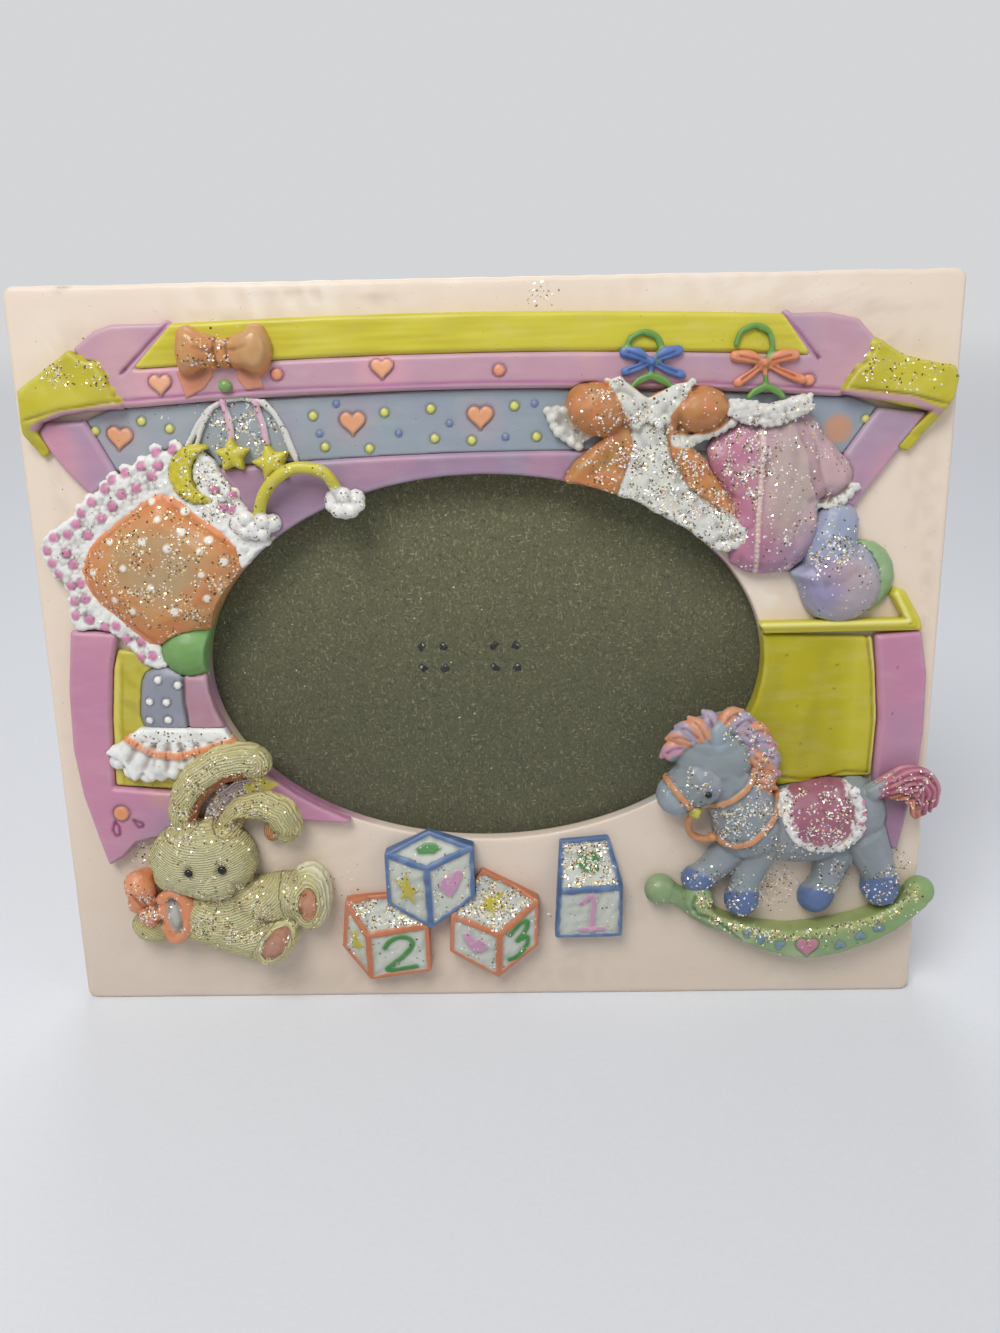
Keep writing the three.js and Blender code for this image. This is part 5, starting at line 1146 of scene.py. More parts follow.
# Hangers: wire hooks and shoulders in green, each tied with a flat ribbon bow, over the clothes.
# Each is one fine resin casting, with its ribbon picked out in blue or in orange.
BLUE, DEEP_BLUE, HANGER_GREEN = "#4f70b0", "#344f88", "#588a3a"
HANGERS = {
    "left": {
        "slot": "hanger_green", "ribbon": BLUE, "dark": DEEP_BLUE, "knot": (37.6, 158.9),
        "hook": [(32, 161.6), (32.8, 163.7), (36, 165.3), (38.9, 164.2), (39.9, 161.8), (39, 159.6)],
        "shoulder": [(33.4, 153.5), (35, 155.1), (37.7, 155.9), (40.4, 155.1), (42.2, 153.4)],
        "loops": [(31.6, 161.2), (43.6, 161.2)], "tails": [(31.8, 156.8), (44.4, 156)],
    },
    "right": {
        "slot": "orange", "ribbon": "#d8875e", "dark": "#a9573a", "knot": (62.8, 158.2),
        "hook": [(56.4, 162.2), (57.4, 164.8), (60.6, 166.2), (63.6, 164.8), (64.4, 161.6),
                 (63.4, 159.2)],
        "shoulder": [(59.6, 150.8), (61, 152.3), (63.4, 153.1), (65.8, 152.3), (67.2, 150.8)],
        "loops": [(56.2, 159.8), (69.4, 159.8)], "tails": [(57, 154), (70.8, 154.6)],
    },
}
for side, hanger in HANGERS.items():
    kx, ky = hanger["knot"]
    ribbons = []
    for x, y in hanger["loops"]:
        ribbons.append(roll([(kx, ky, 4), ((kx + x) / 2, (ky + y) / 2 + 0.5, 4.4), (x, y, 4)],
                            [0.6, 1.5, 1.3], 0.55))
    for x, y in hanger["tails"]:
        ribbons.append(roll([(kx, ky, 3.9), ((kx + x) / 2, (ky + y) / 2 - 0.2, 4.1), (x, y, 3.8)],
                            [0.6, 1.0, 1.2], 0.5))
    ribbons.append(pebble((kx, ky, 4.3), (0.9, 1.1, 0.9)))
    if side == "right":
        ribbons.append(pebble((71.4, 154.4, 4), (1.1, 1.1, 0.8)))
    wire = [roll([(x, y, 3.7) for x, y in hanger["hook"]], 0.72),
            roll([(x, y, 3.7) for x, y in hanger["shoulder"]], 0.8)]
    hung = Casting("hanger_" + side, HANGER_GREEN, ribbons + wire, grain=0.28, grow=-0.16)
    hung.lay("#86b05a", soft(hung.points[:, 2] - 4.2, 0.8) * 0.5)
    bow_away = np.minimum.reduce([beside(hung.points, [(kx, ky), place])[0]
                                  for place in hanger["loops"] + hanger["tails"]])
    wire_away = np.minimum(*[beside(hung.points, hanger[part])[0] for part in ("hook", "shoulder")])
    ribbon = soft(2.2 - bow_away) * soft(np.where(wire_away < 1, hung.points[:, 2] - 4.45, 1), 0.3)
    hung.lay(hanger["ribbon"], ribbon)
    for place in hanger["loops"] + hanger["tails"]:
        hung.scratch([(kx + share * (place[0] - kx), ky + share * (place[1] - ky))
                      for share in (0.25, 0.85)], 0.55, 0.22, hanger["dark"])
    hung.settle(hanger["slot"])

# Dress: full sleeves, a white bib and panel, orange skirts that part over it, and lace at the
# neck, the cuffs and the hem. It is cast in resin as one piece and thickly glittered.
BIB = [(33.4, 150), (36.6, 151.4), (40, 150), (40.6, 144), (42, 138), (46.6, 130.6), (56.4, 123.8),
       (62.5, 121.4), (60, 112), (44, 118), (29, 126), (31, 132), (33.6, 140), (33, 145)]
RIGHT_SKIRT = [(40.6, 147), (43.6, 142.6), (47.6, 141), (51.6, 135), (57.8, 125.6), (56.4, 123.8),
               (46.6, 130.6), (42, 138)]
FLAPS = [[(27.6, 155.2), (30.4, 155.8), (34, 152.8), (36.6, 150.8), (36.4, 146), (34, 144.8),
          (31.6, 147.6), (29.8, 151.4)],
         [(36.8, 150.8), (39.6, 152.2), (43, 154), (46.8, 154.2), (44.6, 150.8), (42, 147.4),
          (39.6, 144.8), (37, 146)]]
FLAP_EDGES = [[(27.8, 154.8), (29.8, 151.2), (31.6, 147.6), (34.2, 145)],
              [(46.6, 154), (44.4, 150.6), (42, 147.4), (39.4, 145)]]
LEFT_CUFF = [(14.6, 148.8), (17, 150), (21, 147.4), (24.6, 143), (22, 140.8), (18.6, 142.6),
             (16, 145.4)]
LEFT_CUFF_EDGE = [(14.7, 148.6), (16, 145.4), (18.4, 142.7), (21.6, 140.9)]
RIGHT_CUFF = [(43.4, 141.6), (46.4, 141.4), (49.4, 142.4), (52.6, 143.8), (55.8, 145.4)]
DRESS_HEM = [(55, 124), (57, 122.6), (59, 121.3), (61, 120.2), (59, 118.6), (56.4, 117.8),
             (53.6, 117.8)]


def scallops(run, height, radius, spacing):
    """Small rounded lobes of lace along a run."""
    length = np.linalg.norm(np.diff(run, axis=0), axis=1).sum()
    return [pebble((x, y, height + 0.3 * (k % 2)), (radius, radius, radius * 0.7))
            for k, (x, y) in enumerate(through(run, max(round(length / spacing), 2)))]


sleeves = [pebble((44.2, 142.6, 2.4), (2.6, 2.2, 2.2)), pebble((25.8, 148.6, 3.4), (7.2, 5.9, 5.4), -4),
           pebble((48.8, 148.4, 3.2), (6.7, 5, 5), 4),
           roll([(27, 149.6, 4), (31.4, 149.4, 4.4), (33.6, 146, 4)], [4, 3.2, 2.4]),
           roll([(47.4, 149, 3.8), (43, 148.4, 4.2), (41.4, 145, 4)], [3.4, 2.8, 2.2])]
laces = [slab(flap, 3, 6.2) for flap in FLAPS]
for edge in FLAP_EDGES:
    laces += scallops(edge, 6, 0.95, 1.7)
laces += [slab(LEFT_CUFF, 0.3, 2.4)] + scallops(LEFT_CUFF_EDGE, 2, 1.1, 1.6)
laces += scallops(RIGHT_CUFF, 4, 1.2, 1.75) + scallops(DRESS_HEM, 4, 1.15, 1.75)
dress = Casting("dress", "#ba7a42", sleeves, laces, grain=0.36, easing=9)
dress.lift(ripple(dress.points, 5, 50), 0.22)
dress.mottle("#a5854a", 8, 51, 0.6)
dress.mottle("#c8754a", 4, 52, 0.55)
skirt = soft(dress.inside(RIGHT_SKIRT), 1.6)
dress.lift(skirt, 0.6)
bib = soft(dress.inside(BIB)) * (1 - soft(dress.inside(RIGHT_SKIRT)))
pleats = np.sin(np.arctan2(dress.points[:, 0] - 36.6, 153 - dress.points[:, 1]) * 15)
dress.lift(pleats * soft(142 - dress.points[:, 1], 8), 0.2)
dress.scratch([(33.2, 144), (33.6, 140), (31, 132), (29.4, 128)], 0.7, 0.3)
dress.scratch([(40.6, 145), (42, 138), (46.6, 130.6), (56.4, 123.8)], 0.7, 0.3)
flaps = np.maximum(*[dress.inside(flap) for flap in FLAPS])
LACE_RUNS = [(FLAP_EDGES[0], 2.3), (FLAP_EDGES[1], 2.3), (LEFT_CUFF_EDGE, 3.4), (RIGHT_CUFF, 2.9),
             (DRESS_HEM, 2.9)]
edges = np.maximum.reduce([dress.along(run, width) for run, width in LACE_RUNS])
for sleeve in ((25.8, 148.6, 7.4, 6.1, -4), (48.8, 148.4, 6.9, 5.2, 4)):
    over_sleeve = (dress.points[:, 2] > 4.6) & (flaps < 0)
    edges = np.minimum(edges, np.where(over_sleeve, -dress.spot(*sleeve) - 0.4, 9))
cuff = soft(dress.inside(LEFT_CUFF) + 0.3) * soft(-dress.spot(25.8, 148.6, 7.2, 5.9, -4) + 0.2, 0.5)
dress.lift(cuff * ripple(dress.points, 3, 49), 0.3)
white = np.maximum.reduce([soft(edges), soft(flaps), bib, cuff])
dress.lay("#d6d7cf", white)
dress.lay("#b7b9b0", white * np.clip(ripple(dress.points, 3, 53), 0, 1) * 0.7)
dress.sprinkle(bib, 2.6)
dress.sprinkle(soft(flaps, 1), 0.9)
dress.sprinkle(skirt, 1.5)
dress.dust((28.5, 139, 6, 7), 4, 1.1)
dress.dust((29, 149, 7, 6), 4, 0.9)
dress.sprinkle(1, 0.14)
dress.settle("orange", gold=0.3)

# Gown: a bulging body with one sleeve showing, a scalloped lace collar, corded piping down the
# front and lace at the cuff. It is one resin casting, brushed in magenta, grey pink and lavender.
GOWN_COLLAR = [(55.4, 147.6), (58, 146.4), (61, 145.5), (64.4, 145.3), (67.6, 145.9), (70.6, 147.3),
               (73.2, 148.8)]
GOWN_NECK = [(55.6, 149.6), (59.6, 149.4), (64, 148.4), (68, 149.6), (73, 150.8)]
GOWN_CUFF = [(76.6, 126.6), (79, 126.4), (81.4, 127.2), (83.4, 128.6), (84.8, 130.6)]
PIPING = [(62.9, 145), (62.6, 135), (62.2, 125), (62.4, 117), (62.8, 111.4)]
GOWN_LACE = GOWN_COLLAR + GOWN_NECK[::-1]
GOWN_WRIST = GOWN_CUFF + [(83, 132), (79.6, 129.6), (77, 129)]
gown = Casting("gown", "#b49aa0",
               [pebble((66, 127, 0.5), (10.6, 16, 6.4), 4), pebble((61, 138, 0.8), (9, 8.4, 5.9))],
               scallops(GOWN_COLLAR, 5.4, 1, 1.5) + scallops(GOWN_NECK, 5.3, 0.8, 1.3)
               + scallops(GOWN_CUFF, 2.8, 1, 1.7) + [slab(GOWN_LACE, 3, 5.7), slab(GOWN_WRIST, 0.4, 2.8)],
               grain=0.34, easing=24)
gown.lay("#b8748f", gown.fade((68, 138), (58, 135)))
gown.lay("#bd7c98", gown.fade((66, 122), (60, 111)) * 0.9)
gown.lay("#9285a4", gown.fade((69, 124), (78, 113)) * 0.9)
gown.dab("#b8a69e", (68.5, 131, 7, 11), 7, 0.8)
gown.dab("#c2a0a4", (80, 135, 6, 5), 4, 0.8)
gown.mottle("#cfa9b4", 6, 54, 0.45)
gown.scratch(through([(71.4, 145), (73.8, 139), (75, 133), (76.8, 128.8)], 16), 3, 0.25, "#ab8b93")
gown.lift(ripple(gown.points * (1.6, 0.5, 1), 9, 55), 0.3)
cord = soft(gown.along(PIPING, 1), 0.6)
gown.lift(cord, 0.3)
gown.lift(cord * np.sin(gown.points[:, 1] * 5.2), 0.12)
gown.lay("#d8c2b8", cord * 0.9)
frill = soft(np.maximum.reduce([gown.along(GOWN_COLLAR, 2.2), gown.along(GOWN_NECK, 2),
                                gown.inside(GOWN_LACE), gown.along(GOWN_CUFF, 2.6)]))
gown.lift(frill * ripple(gown.points, 1.6, 48), 0.2)
gown.lay("#d6d5cf", frill)
gown.dust((59, 137, 7, 10, 10), 5, 1.6)
gown.sprinkle(soft(gown.along(GOWN_COLLAR, 4), 2), 0.7)
gown.sprinkle(0.5 + 0.5 * ripple(gown.points, 10, 56), 0.6)
gown.settle("gown_pink")

# Bootie and the ball behind it: a stuffed boot with a soft ankle and a full toe, and a plain ball.
# Both are cast in resin and bonded on, the boot in soft blues with glitter and the ball in green.
bootie = Casting("bootie", "#9aa0b6",
                 [pebble((83.2, 107.6, 1.2), (9.6, 8.9, 5.8), 14),
                  roll([(81.5, 122, 0.8), (80.4, 117, 1), (81.4, 111, 1)], [5.4, 6.2, 7.4], 0.85)],
                 grain=0.36, easing=30)
bootie.dab("#a99ea6", (85.5, 106, 7, 8), 5)
bootie.dab("#9188ae", (78, 108.6, 4.5, 6), 4, 0.8)
bootie.dab("#b3949f", (82.4, 111.4, 5, 3), 4, 0.6)
bootie.dab("#8e99b4", (81, 120, 6, 4), 4, 0.7)
bootie.lift(ripple(bootie.points, 7, 57), 0.14)
bootie.dust((80, 116, 5, 4.5), 2, 1.7)
bootie.sprinkle(0.5 + 0.5 * ripple(bootie.points, 6, 58), 0.35)
bootie.settle("bootie_blue")

far_ball = Casting("ball_right", "#86a674", easing=6)
far_ball.mottle("#9bb58c", 9, 59, 0.6)
far_ball.settle("ball_green")

# Bunny: a stuffed toy lying back with its feet up, cast in resin as knitted cloth with long bent
# ears, bead eyes and coloured soles. The orange ribbon bow at its neck is a casting of its own.
black_gloss = Finish("black_gloss", Base_Color=shade("#0c0b0a"), Roughness=0.12)


def bead(casting, x, y, radius):
    """A glossy black eye set into a casting."""
    near = np.hypot(casting.points[:, 0] - x, casting.points[:, 1] - y) < radius
    height = casting.points[near, 2].max()
    eye = piece(f"{casting.node}_eye_{round(x)}",
                *pebble((x, y, height - 0.15), (radius, radius, 0.75 * radius)), black_gloss)
    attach(eye, "frame")
    "bunny_cream" if casting.node == "bunny" else "horse_grey"


FUR, PALE_FUR, EAR_BROWN = "#c8c088", "#d6d2b0", "#a8663f"
KNIT_ROW = 0.66
LEFT_EAR = [(-76.8, 49, 3.2), (-75.6, 56.5, 3.4), (-71.5, 62.2, 3.8), (-65.5, 66.2, 4.2),
            (-60, 67.4, 4.4), (-57.4, 66.8, 4.4)]
RIGHT_EAR = [(-65.5, 50.5, 3), (-62, 54, 3), (-57, 55.2, 3.2), (-52.5, 53.4, 3.4), (-50.8, 49.8, 3.2),
             (-51.3, 48, 3)]
BETWEEN_EARS = [(-72, 50.5), (-71, 55.4), (-67.4, 59.4), (-62, 62), (-58, 61.4), (-57, 59), (-61, 57.4),
                (-64.6, 54.6), (-66.4, 51.4)]
bunny_forms = [
    pebble((-72.5, 41.4, 3.6), (13.7, 10.3, 8.6)),
    pebble((-69.6, 36.8, 6.8), (6.4, 4.8, 5.3)), pebble((-79.6, 37.8, 3.6), (5.8, 5.6, 5.4)),
    pebble((-64.8, 38.2, 3.6), (4.8, 5.4, 5.2)),
    roll(LEFT_EAR, [3.3, 4.1, 4.7, 4.9, 4.5, 3.9]),
    roll(RIGHT_EAR, [2.7, 3.3, 3.6, 4, 3.8, 2.9]),
    pebble((-68, 25.8, 1.4), (14.5, 10.1, 7.8)),
    roll([(-66, 21.5, 2.6), (-62, 20.2, 3.3), (-58, 19, 4)], [6.1, 5.9, 5.5]),
    pebble((-55.3, 19.4, 4.8), (4.7, 7.6, 5.1), -35),
    roll([(-61, 29.5, 2.6), (-55, 30.3, 2.8), (-50, 31, 3)], 6.1),
    pebble((-46.4, 30.7, 3.4), (5.6, 9.3, 4.9), -4),
    roll([(-78, 26.5, 1.6), (-82, 24.6, 1.7), (-86, 22.6, 1.8)], [4.7, 4.5, 4.4]),
    pebble((-87, 22.4, 2), (5.9, 4.3, 4.5)),
    pebble((-71, 27.6, 5), (6.6, 4.4, 4.4), 8),
    pebble((-54.9, 47.8, 2.2), (2.3, 2.6, 2)),
]
bunny = Casting("bunny", FUR, bunny_forms, [slab(BETWEEN_EARS, 0.3, 3)], grain=0.32, easing=9)
left_run, right_run = np.array(LEFT_EAR)[:, :2], np.array(RIGHT_EAR)[:, :2]
left_away, right_away = beside(bunny.points, left_run)[0], beside(bunny.points, right_run)[0]
upper_foot, lower_foot = bunny.spot(-46.4, 30.7, 5.6, 9.3, -4), bunny.spot(-55.3, 19.4, 4.7, 7.6, -35)
regions = np.stack([bunny.spot(-72.5, 41.4, 13.7, 10.3), 4.6 - left_away, 3.9 - right_away, lower_foot,
                    upper_foot, bunny.spot(-68, 25.8, 14.5, 10.1) * 0.5])
rows = np.stack([np.hypot(bunny.points[:, 0] + 71, (bunny.points[:, 1] - 60) * 1.15), left_away,
                 right_away, -lower_foot, -upper_foot,
                 np.hypot(bunny.points[:, 0] + 68, bunny.points[:, 1] - 44)])
row = np.take_along_axis(rows, regions.argmax(0)[None], 0)[0] + 0.14 * ripple(bunny.points, 3, 60)
bunny.comb = row * 2 * np.pi / KNIT_ROW
bunny.lift(ripple(bunny.points, 1.5, 61), 0.07)
bunny.lift(ripple(bunny.points, 8, 62), 0.16)
bunny.mottle("#b7b184", 9, 63, 0.5)
bunny.mottle("#bfb98a", 2.4, 64, 0.4)
# Painted highlight where the bunny stands furthest out, and painted shade low down near the plate.
bunny.lay("#dcdab6", soft(bunny.points[:, 2] - 8.5, 5) * 0.45)
bunny.lay("#8a855c", soft(2.8 - bunny.points[:, 2], 2.4) * 0.5)
LEFT_HOLLOW = [(-74.8, 52), (-73.6, 55.7), (-70, 60.5), (-64.6, 64.1), (-59.6, 65.2), (-59.4, 62.8),
               (-63.4, 61.6), (-68.2, 58.4), (-71.2, 54.2), (-72.2, 51.6)]
RIGHT_HOLLOW = [(-65.4, 50.4), (-62.4, 52.6), (-58.8, 52.2), (-56.6, 50.2), (-59, 50.2), (-62, 50)]
# The left ear's hollow is painted its brown lining; the right one's dull brown is painted shade inside
# the fold.
for outline, colour in ((LEFT_HOLLOW, EAR_BROWN), (RIGHT_HOLLOW, "#a88a62")):
    bunny.lift(soft(bunny.inside(outline), 0.9), -0.5)
    bunny.lay(colour, soft(bunny.inside(outline), 0.5))
bunny.dab("#cb8a58", (-55.6, 47.5, 1.4, 2.1, 20), 0.7)
fill = soft(bunny.inside(BETWEEN_EARS) + 0.4, 0.6) * soft(3.5 - bunny.points[:, 2], 0.4)
bunny.lay("#cdbcbc", fill)
for sole, colour in (((-54.6, 20.2, 2.6, 5, -35), "#a8735a"), ((-46.2, 30.2, 2.2, 4.5, -4), "#c4835e")):
    cover = bunny.spot(*sole)
    bunny.lift(soft(cover, 0.9), -0.35)
    bunny.lay(colour, soft(cover, 0.6))
    bunny.lay("#b08b76", soft(cover - 0.7, 1.4) * 0.5)
    bunny.comb = np.where(cover > 0, 0, bunny.comb)
SOLE_EDGE = [(-49, 39.6), (-46, 40), (-43, 38), (-41.2, 33), (-41.4, 27), (-43.4, 22.6)]
bunny.lay(PALE_FUR, soft(bunny.along(SOLE_EDGE, 3), 0.9))
for x, y in ((-73.9, 40.9), (-66, 41.2)):
    bunny.dab("#a5a078", (x, y, 1.5), 0.9, 0.6)
    bunny.lift(soft(bunny.spot(x, y, 2), 1.5), -0.3)
    bead(bunny, x, y, 1.05)
bunny.lay("#a5a27a", soft(bunny.along([(-72, 35.6), (-69.8, 34.8), (-67.4, 35.8)], 0.7), 0.5) * 0.6)
bunny.dust((-66, 28, 12, 8), 4, 1.4)
bunny.dust((-70, 46, 9, 4), 4, 0.8)
bunny.sprinkle(soft(3.4 - left_away, 2), 1.3)
bunny.sprinkle(soft(3 - right_away, 2) * (bunny.points[:, 0] < -54), 1.2)
bunny.sprinkle(fill, 2)
bunny.sprinkle(0.5 + 0.5 * ripple(bunny.points, 9, 65), 0.4)
knitted_resin = resin("knitted_resin", 0.58, 0.08, 0.00013, 1.6, 1.5, 0.13)
bunny.settle("bunny_cream", knitted_resin, 0.55, 0.75)

BOW_RING = [(-82.6, 31.6), (-80, 33), (-77.4, 31.4), (-76.6, 28), (-77.8, 23.6), (-80.6, 20.8),
            (-82.4, 24)]
bow = Casting("bunny_bow", "#d2855a", [
    pebble((-88.6, 34.4, 5.6), (3.7, 4.5, 3.2), 20), pebble((-89.4, 30, 5), (2.8, 2.6, 2.6)),
    pebble((-86.2, 27.4, 6), (2.9, 2.6, 2.8)),
    roll([(x, y, 6.4) for x, y in BOW_RING], [1.7, 1.7, 1.8, 1.8, 1.7, 1.5, 1.4])],
              grain=0.32, easing=8)
eye = bow.spot(-79.9, 27.6, 1.8, 4.7, 6)
bow.lift(soft(eye, 1), -0.9)
bow.lay("#b4b3ae", soft(eye, 0.6))
for run in [[(-89.6, 33.6), (-88.2, 31.2), (-87, 29)], [(-87.6, 33), (-86.8, 30.8), (-86.4, 29.2)],
            [(-84.4, 30.4), (-84.8, 27.6), (-84.2, 25)]]:
    bow.scratch(through(run, 10), 0.9, 0.3, "#a85f38")
bow.dab("#df9b74", (-89.6, 36, 2.4, 2.6), 2, 0.6)
bow.dust((-87.4, 29.5, 4, 4), 2, 1.6)
bow.sprinkle(1, 0.3)
bow.settle("orange")

# Toy blocks: four cubes cast in low relief, with raised painted edges and sunk white faces. The
# faces carry plain numerals, stars, leaves and hearts, and three tops are thick with glitter.
NUMERALS = {
    "1": [[(0.36, 0.28), (0.54, 0.16), (0.54, 0.84)], [(0.36, 0.84), (0.72, 0.84)]],
    "2": [[(0.27, 0.32), (0.36, 0.19), (0.55, 0.15), (0.71, 0.26), (0.69, 0.42), (0.5, 0.62),
           (0.28, 0.84), (0.76, 0.84)]],
    "3": [[(0.28, 0.2), (0.5, 0.14), (0.71, 0.23), (0.69, 0.4), (0.47, 0.48), (0.71, 0.57),
           (0.72, 0.75), (0.52, 0.86), (0.28, 0.79)]],
}
LEAF = [(0.28, 0.5), (0.42, 0.3), (0.62, 0.28), (0.74, 0.42), (0.66, 0.66), (0.46, 0.7)]
STAR = [(0.5 + (0.3 if k % 2 == 0 else 0.13) * math.sin(k * math.pi / 5),
         0.5 - (0.3 if k % 2 == 0 else 0.13) * math.cos(k * math.pi / 5)) for k in range(10)]
HEART = (heart(0, 0, 0.52) * (1, -1) + (0.5, 0.5)).tolist()
LEAF_GREEN, MOTIF_PINK, MOTIF_YELLOW = "#3c7f3a", "#bf8fae", "#b8aa3a"
BLOCK_BLUE, BLOCK_ORANGE = "#456390", "#b96e49"
FRONTS = {"block_1": [(-27, 41.9), (-16.5, 38.6), (-4.9, 43.5)],
          "block_2": [(-37.5, 29), (-32, 20.5), (-16.8, 22.3)],
          "block_3": [(-10.8, 25), (1.3, 20.3), (11.3, 28.8)],
          "block_4": [(16.3, 32), (32.5, 33)]}
# Each face: its corners from the upper left round to the lower left, its motif and its glitter.
BLOCKS = {
    "block_1": (BLOCK_BLUE, [
        ([(-27, 41.9), (-16, 47), (-4.9, 43.5), (-16.5, 38.6)], LEAF, LEAF_GREEN, 0.1),
        ([(-27, 41.9), (-16.5, 38.6), (-16, 21.5), (-26.8, 28.6)], STAR, MOTIF_YELLOW, 0.3),
        ([(-16.5, 38.6), (-4.9, 43.5), (-4.8, 30), (-16, 21.5)], HEART, MOTIF_PINK, 0.3)]),
    "block_2": (BLOCK_ORANGE, [
        ([(-37.5, 29), (-25, 30), (-16.8, 22.3), (-32, 20.5)], None, WHITE, 4.4),
        ([(-37.5, 29), (-32, 20.5), (-32, 7.3), (-38.7, 16.8)], STAR, MOTIF_YELLOW, 0.15),
        ([(-32, 20.5), (-16.8, 22.3), (-16.5, 9.6), (-32, 7.3)], "2", LEAF_GREEN, 0.12)]),
    "block_3": (BLOCK_ORANGE, [
        ([(-2.7, 36.3), (11.3, 28.8), (1.3, 20.3), (-10.8, 25)], STAR, MOTIF_YELLOW, 3.6),
        ([(-10.8, 25), (1.3, 20.3), (1, 7.6), (-11.3, 15)], HEART, MOTIF_PINK, 0.3),
        ([(1.3, 20.3), (11.3, 28.8), (11, 16.5), (1, 7.6)], "3", LEAF_GREEN, 0.15)]),
    "block_4": (BLOCK_BLUE, [
        ([(17, 43.8), (29, 44.8), (32.5, 33), (16.3, 32)], LEAF, LEAF_GREEN, 4.2),
        ([(16.3, 32), (32.5, 33), (32.4, 18.8), (15.7, 18.5)], "1", MOTIF_PINK, 0.1)]),
}


def on_face(corners, marks):
    """Places on a block's face, from shares across it and down it."""
    a, b, c, d = (np.array(corner) for corner in corners)
    return [a * (1 - s) * (1 - t) + b * s * (1 - t) + c * s * t + d * (1 - s) * t for s, t in marks]


for node, (colour, sides_of_block) in BLOCKS.items():
    block = Casting(node, colour, grain=0.28)
    behind = block.points[:, 1] - np.interp(block.points[:, 0], *np.array(FRONTS[node]).T)
    block.points[:, 2] *= 1 - 0.55 * np.clip(behind / 9, 0, 1)
    block.mottle("#8798b4" if colour == BLOCK_BLUE else "#b2683f", 5, 71, 0.5)
    wander = 0.14 * ripple(block.points, 3.5, 72)
    for corners, motif, motif_colour, sparkle in sides_of_block:
        panel_depth = block.inside(corners) - 0.9 + wander
        sunk = soft(panel_depth, 0.5)
        block.lift(sunk, -0.4)
        block.lay("#c3c8bf", sunk)
        block.lay("#9da49c", sunk * np.clip(ripple(block.points, 4, 73), 0, 1) * 0.5)
        if isinstance(motif, str):
            for stroke in NUMERALS[motif]:
                line = soft(block.along(through(on_face(corners, stroke), 30), 1.3) + wander * 0.6, 0.5)
                block.lift(line, 0.35)
                block.lay(motif_colour, line)
        elif motif is not None:
            shape = soft(block.inside(on_face(corners, motif)) + wander, 0.5)
            block.lift(shape, 0.35)
            block.lay(motif_colour, shape)
        block.sprinkle(soft(panel_depth, 1), sparkle)
    block.settle("block_blue" if colour == BLOCK_BLUE else "orange", wash=0.4, gold=0.5)

# Rocking horse: a toy horse with a leafy mane and tail, a bridle and reins in orange cord, and a
# pink saddle with a white fringe, on a green rocker with scrolled ends and painted motifs. The
# horse, the saddle and the rocker are three resin castings, bonded together.
GREY, HOOF, MUZZLE = "#858f95", "#566b96", "#929ea7"
MANE_ORANGE, MANE_PINK, MANE_LILAC = "#d08f6c", "#c38fa2", "#a698ae"
STRANDS = [
    ((46.5, 69.8, 7), (43.6, 69.4, 6.4), (41.4, 67, 5.2), MANE_PINK),
    ((48.5, 71.4, 8), (45.2, 72.6, 7), (42.6, 71.6, 5.6), MANE_ORANGE),
    ((50, 72, 8.4), (47, 74.6, 7.4), (44.6, 74.6, 6), MANE_LILAC),
    ((51.4, 71.8, 9), (49.8, 75.2, 8), (47.6, 77, 6.4), MANE_ORANGE),
    ((52.6, 74.4, 8), (52.4, 77, 7), (51, 78.4, 6), MANE_LILAC),
    ((55, 75.6, 8), (57.4, 77.8, 7.2), (60.4, 78.4, 6), MANE_ORANGE),
    ((57.6, 74.4, 8), (60.4, 76.6, 7.2), (63, 76.2, 6), MANE_LILAC),
    ((59.6, 72.4, 8), (63.6, 74, 7), (66.8, 73, 5.6), MANE_ORANGE),
    ((61, 69.8, 7.8), (65, 71.2, 6.8), (68.8, 69.6, 5.4), MANE_PINK),
    ((62, 66.6, 7.4), (66, 67.6, 6.6), (70, 65.6, 5.2), MANE_LILAC),
    ((62.4, 63.6, 7), (66.4, 64, 6.4), (70.2, 62, 5), MANE_PINK),
    ((62.6, 60.8, 6.6), (66, 60.4, 6.2), (69.4, 58.4, 5), MANE_ORANGE),
    ((60, 74.2, 8.2), (62, 72.4, 8), (64.6, 71, 7), MANE_LILAC),
    ((62.4, 68.4, 8), (64.6, 66.2, 7.6), (66.6, 63.6, 6.6), MANE_ORANGE),
]
TAIL = [
    ((94.4, 58.4, 6.4), (99, 61.6, 7.4), (104, 60.6, 7.4), (106.8, 56, 6.8), (106.6, 52.4, 6),
     1.25, "#a9566c"),
    ((94.4, 57, 6.4), (98.4, 59, 7.8), (102.6, 57.8, 7.8), (104.8, 54.2, 7.2), (105, 51.4, 6.2),
     1.15, "#a04c66"),
    ((95, 60.4, 6), (99.6, 63, 6.6), (104.8, 62.4, 6.6), (108, 58.2, 6.2), (107.8, 54.6, 5.6),
     1.15, "#b87786"),
    ((97.4, 56.6, 6.2), (100.2, 56.6, 7), (102.4, 54.2, 7), (103.2, 52.2, 6.6), (103.8, 50.6, 6),
     0.95, "#c4754f"),
    ((97, 61, 6.8), (101.6, 62, 7.6), (105.8, 59.4, 7.2), (107.4, 55.4, 6.6), (107.2, 52.8, 5.8),
     0.9, "#b06478"),
]
LOOP = [(49.3, 53.4, 7.4), (48.3, 50, 5.4), (49.2, 46.6, 3.6), (51.6, 44.8, 3), (54.4, 45.4, 4.6)]
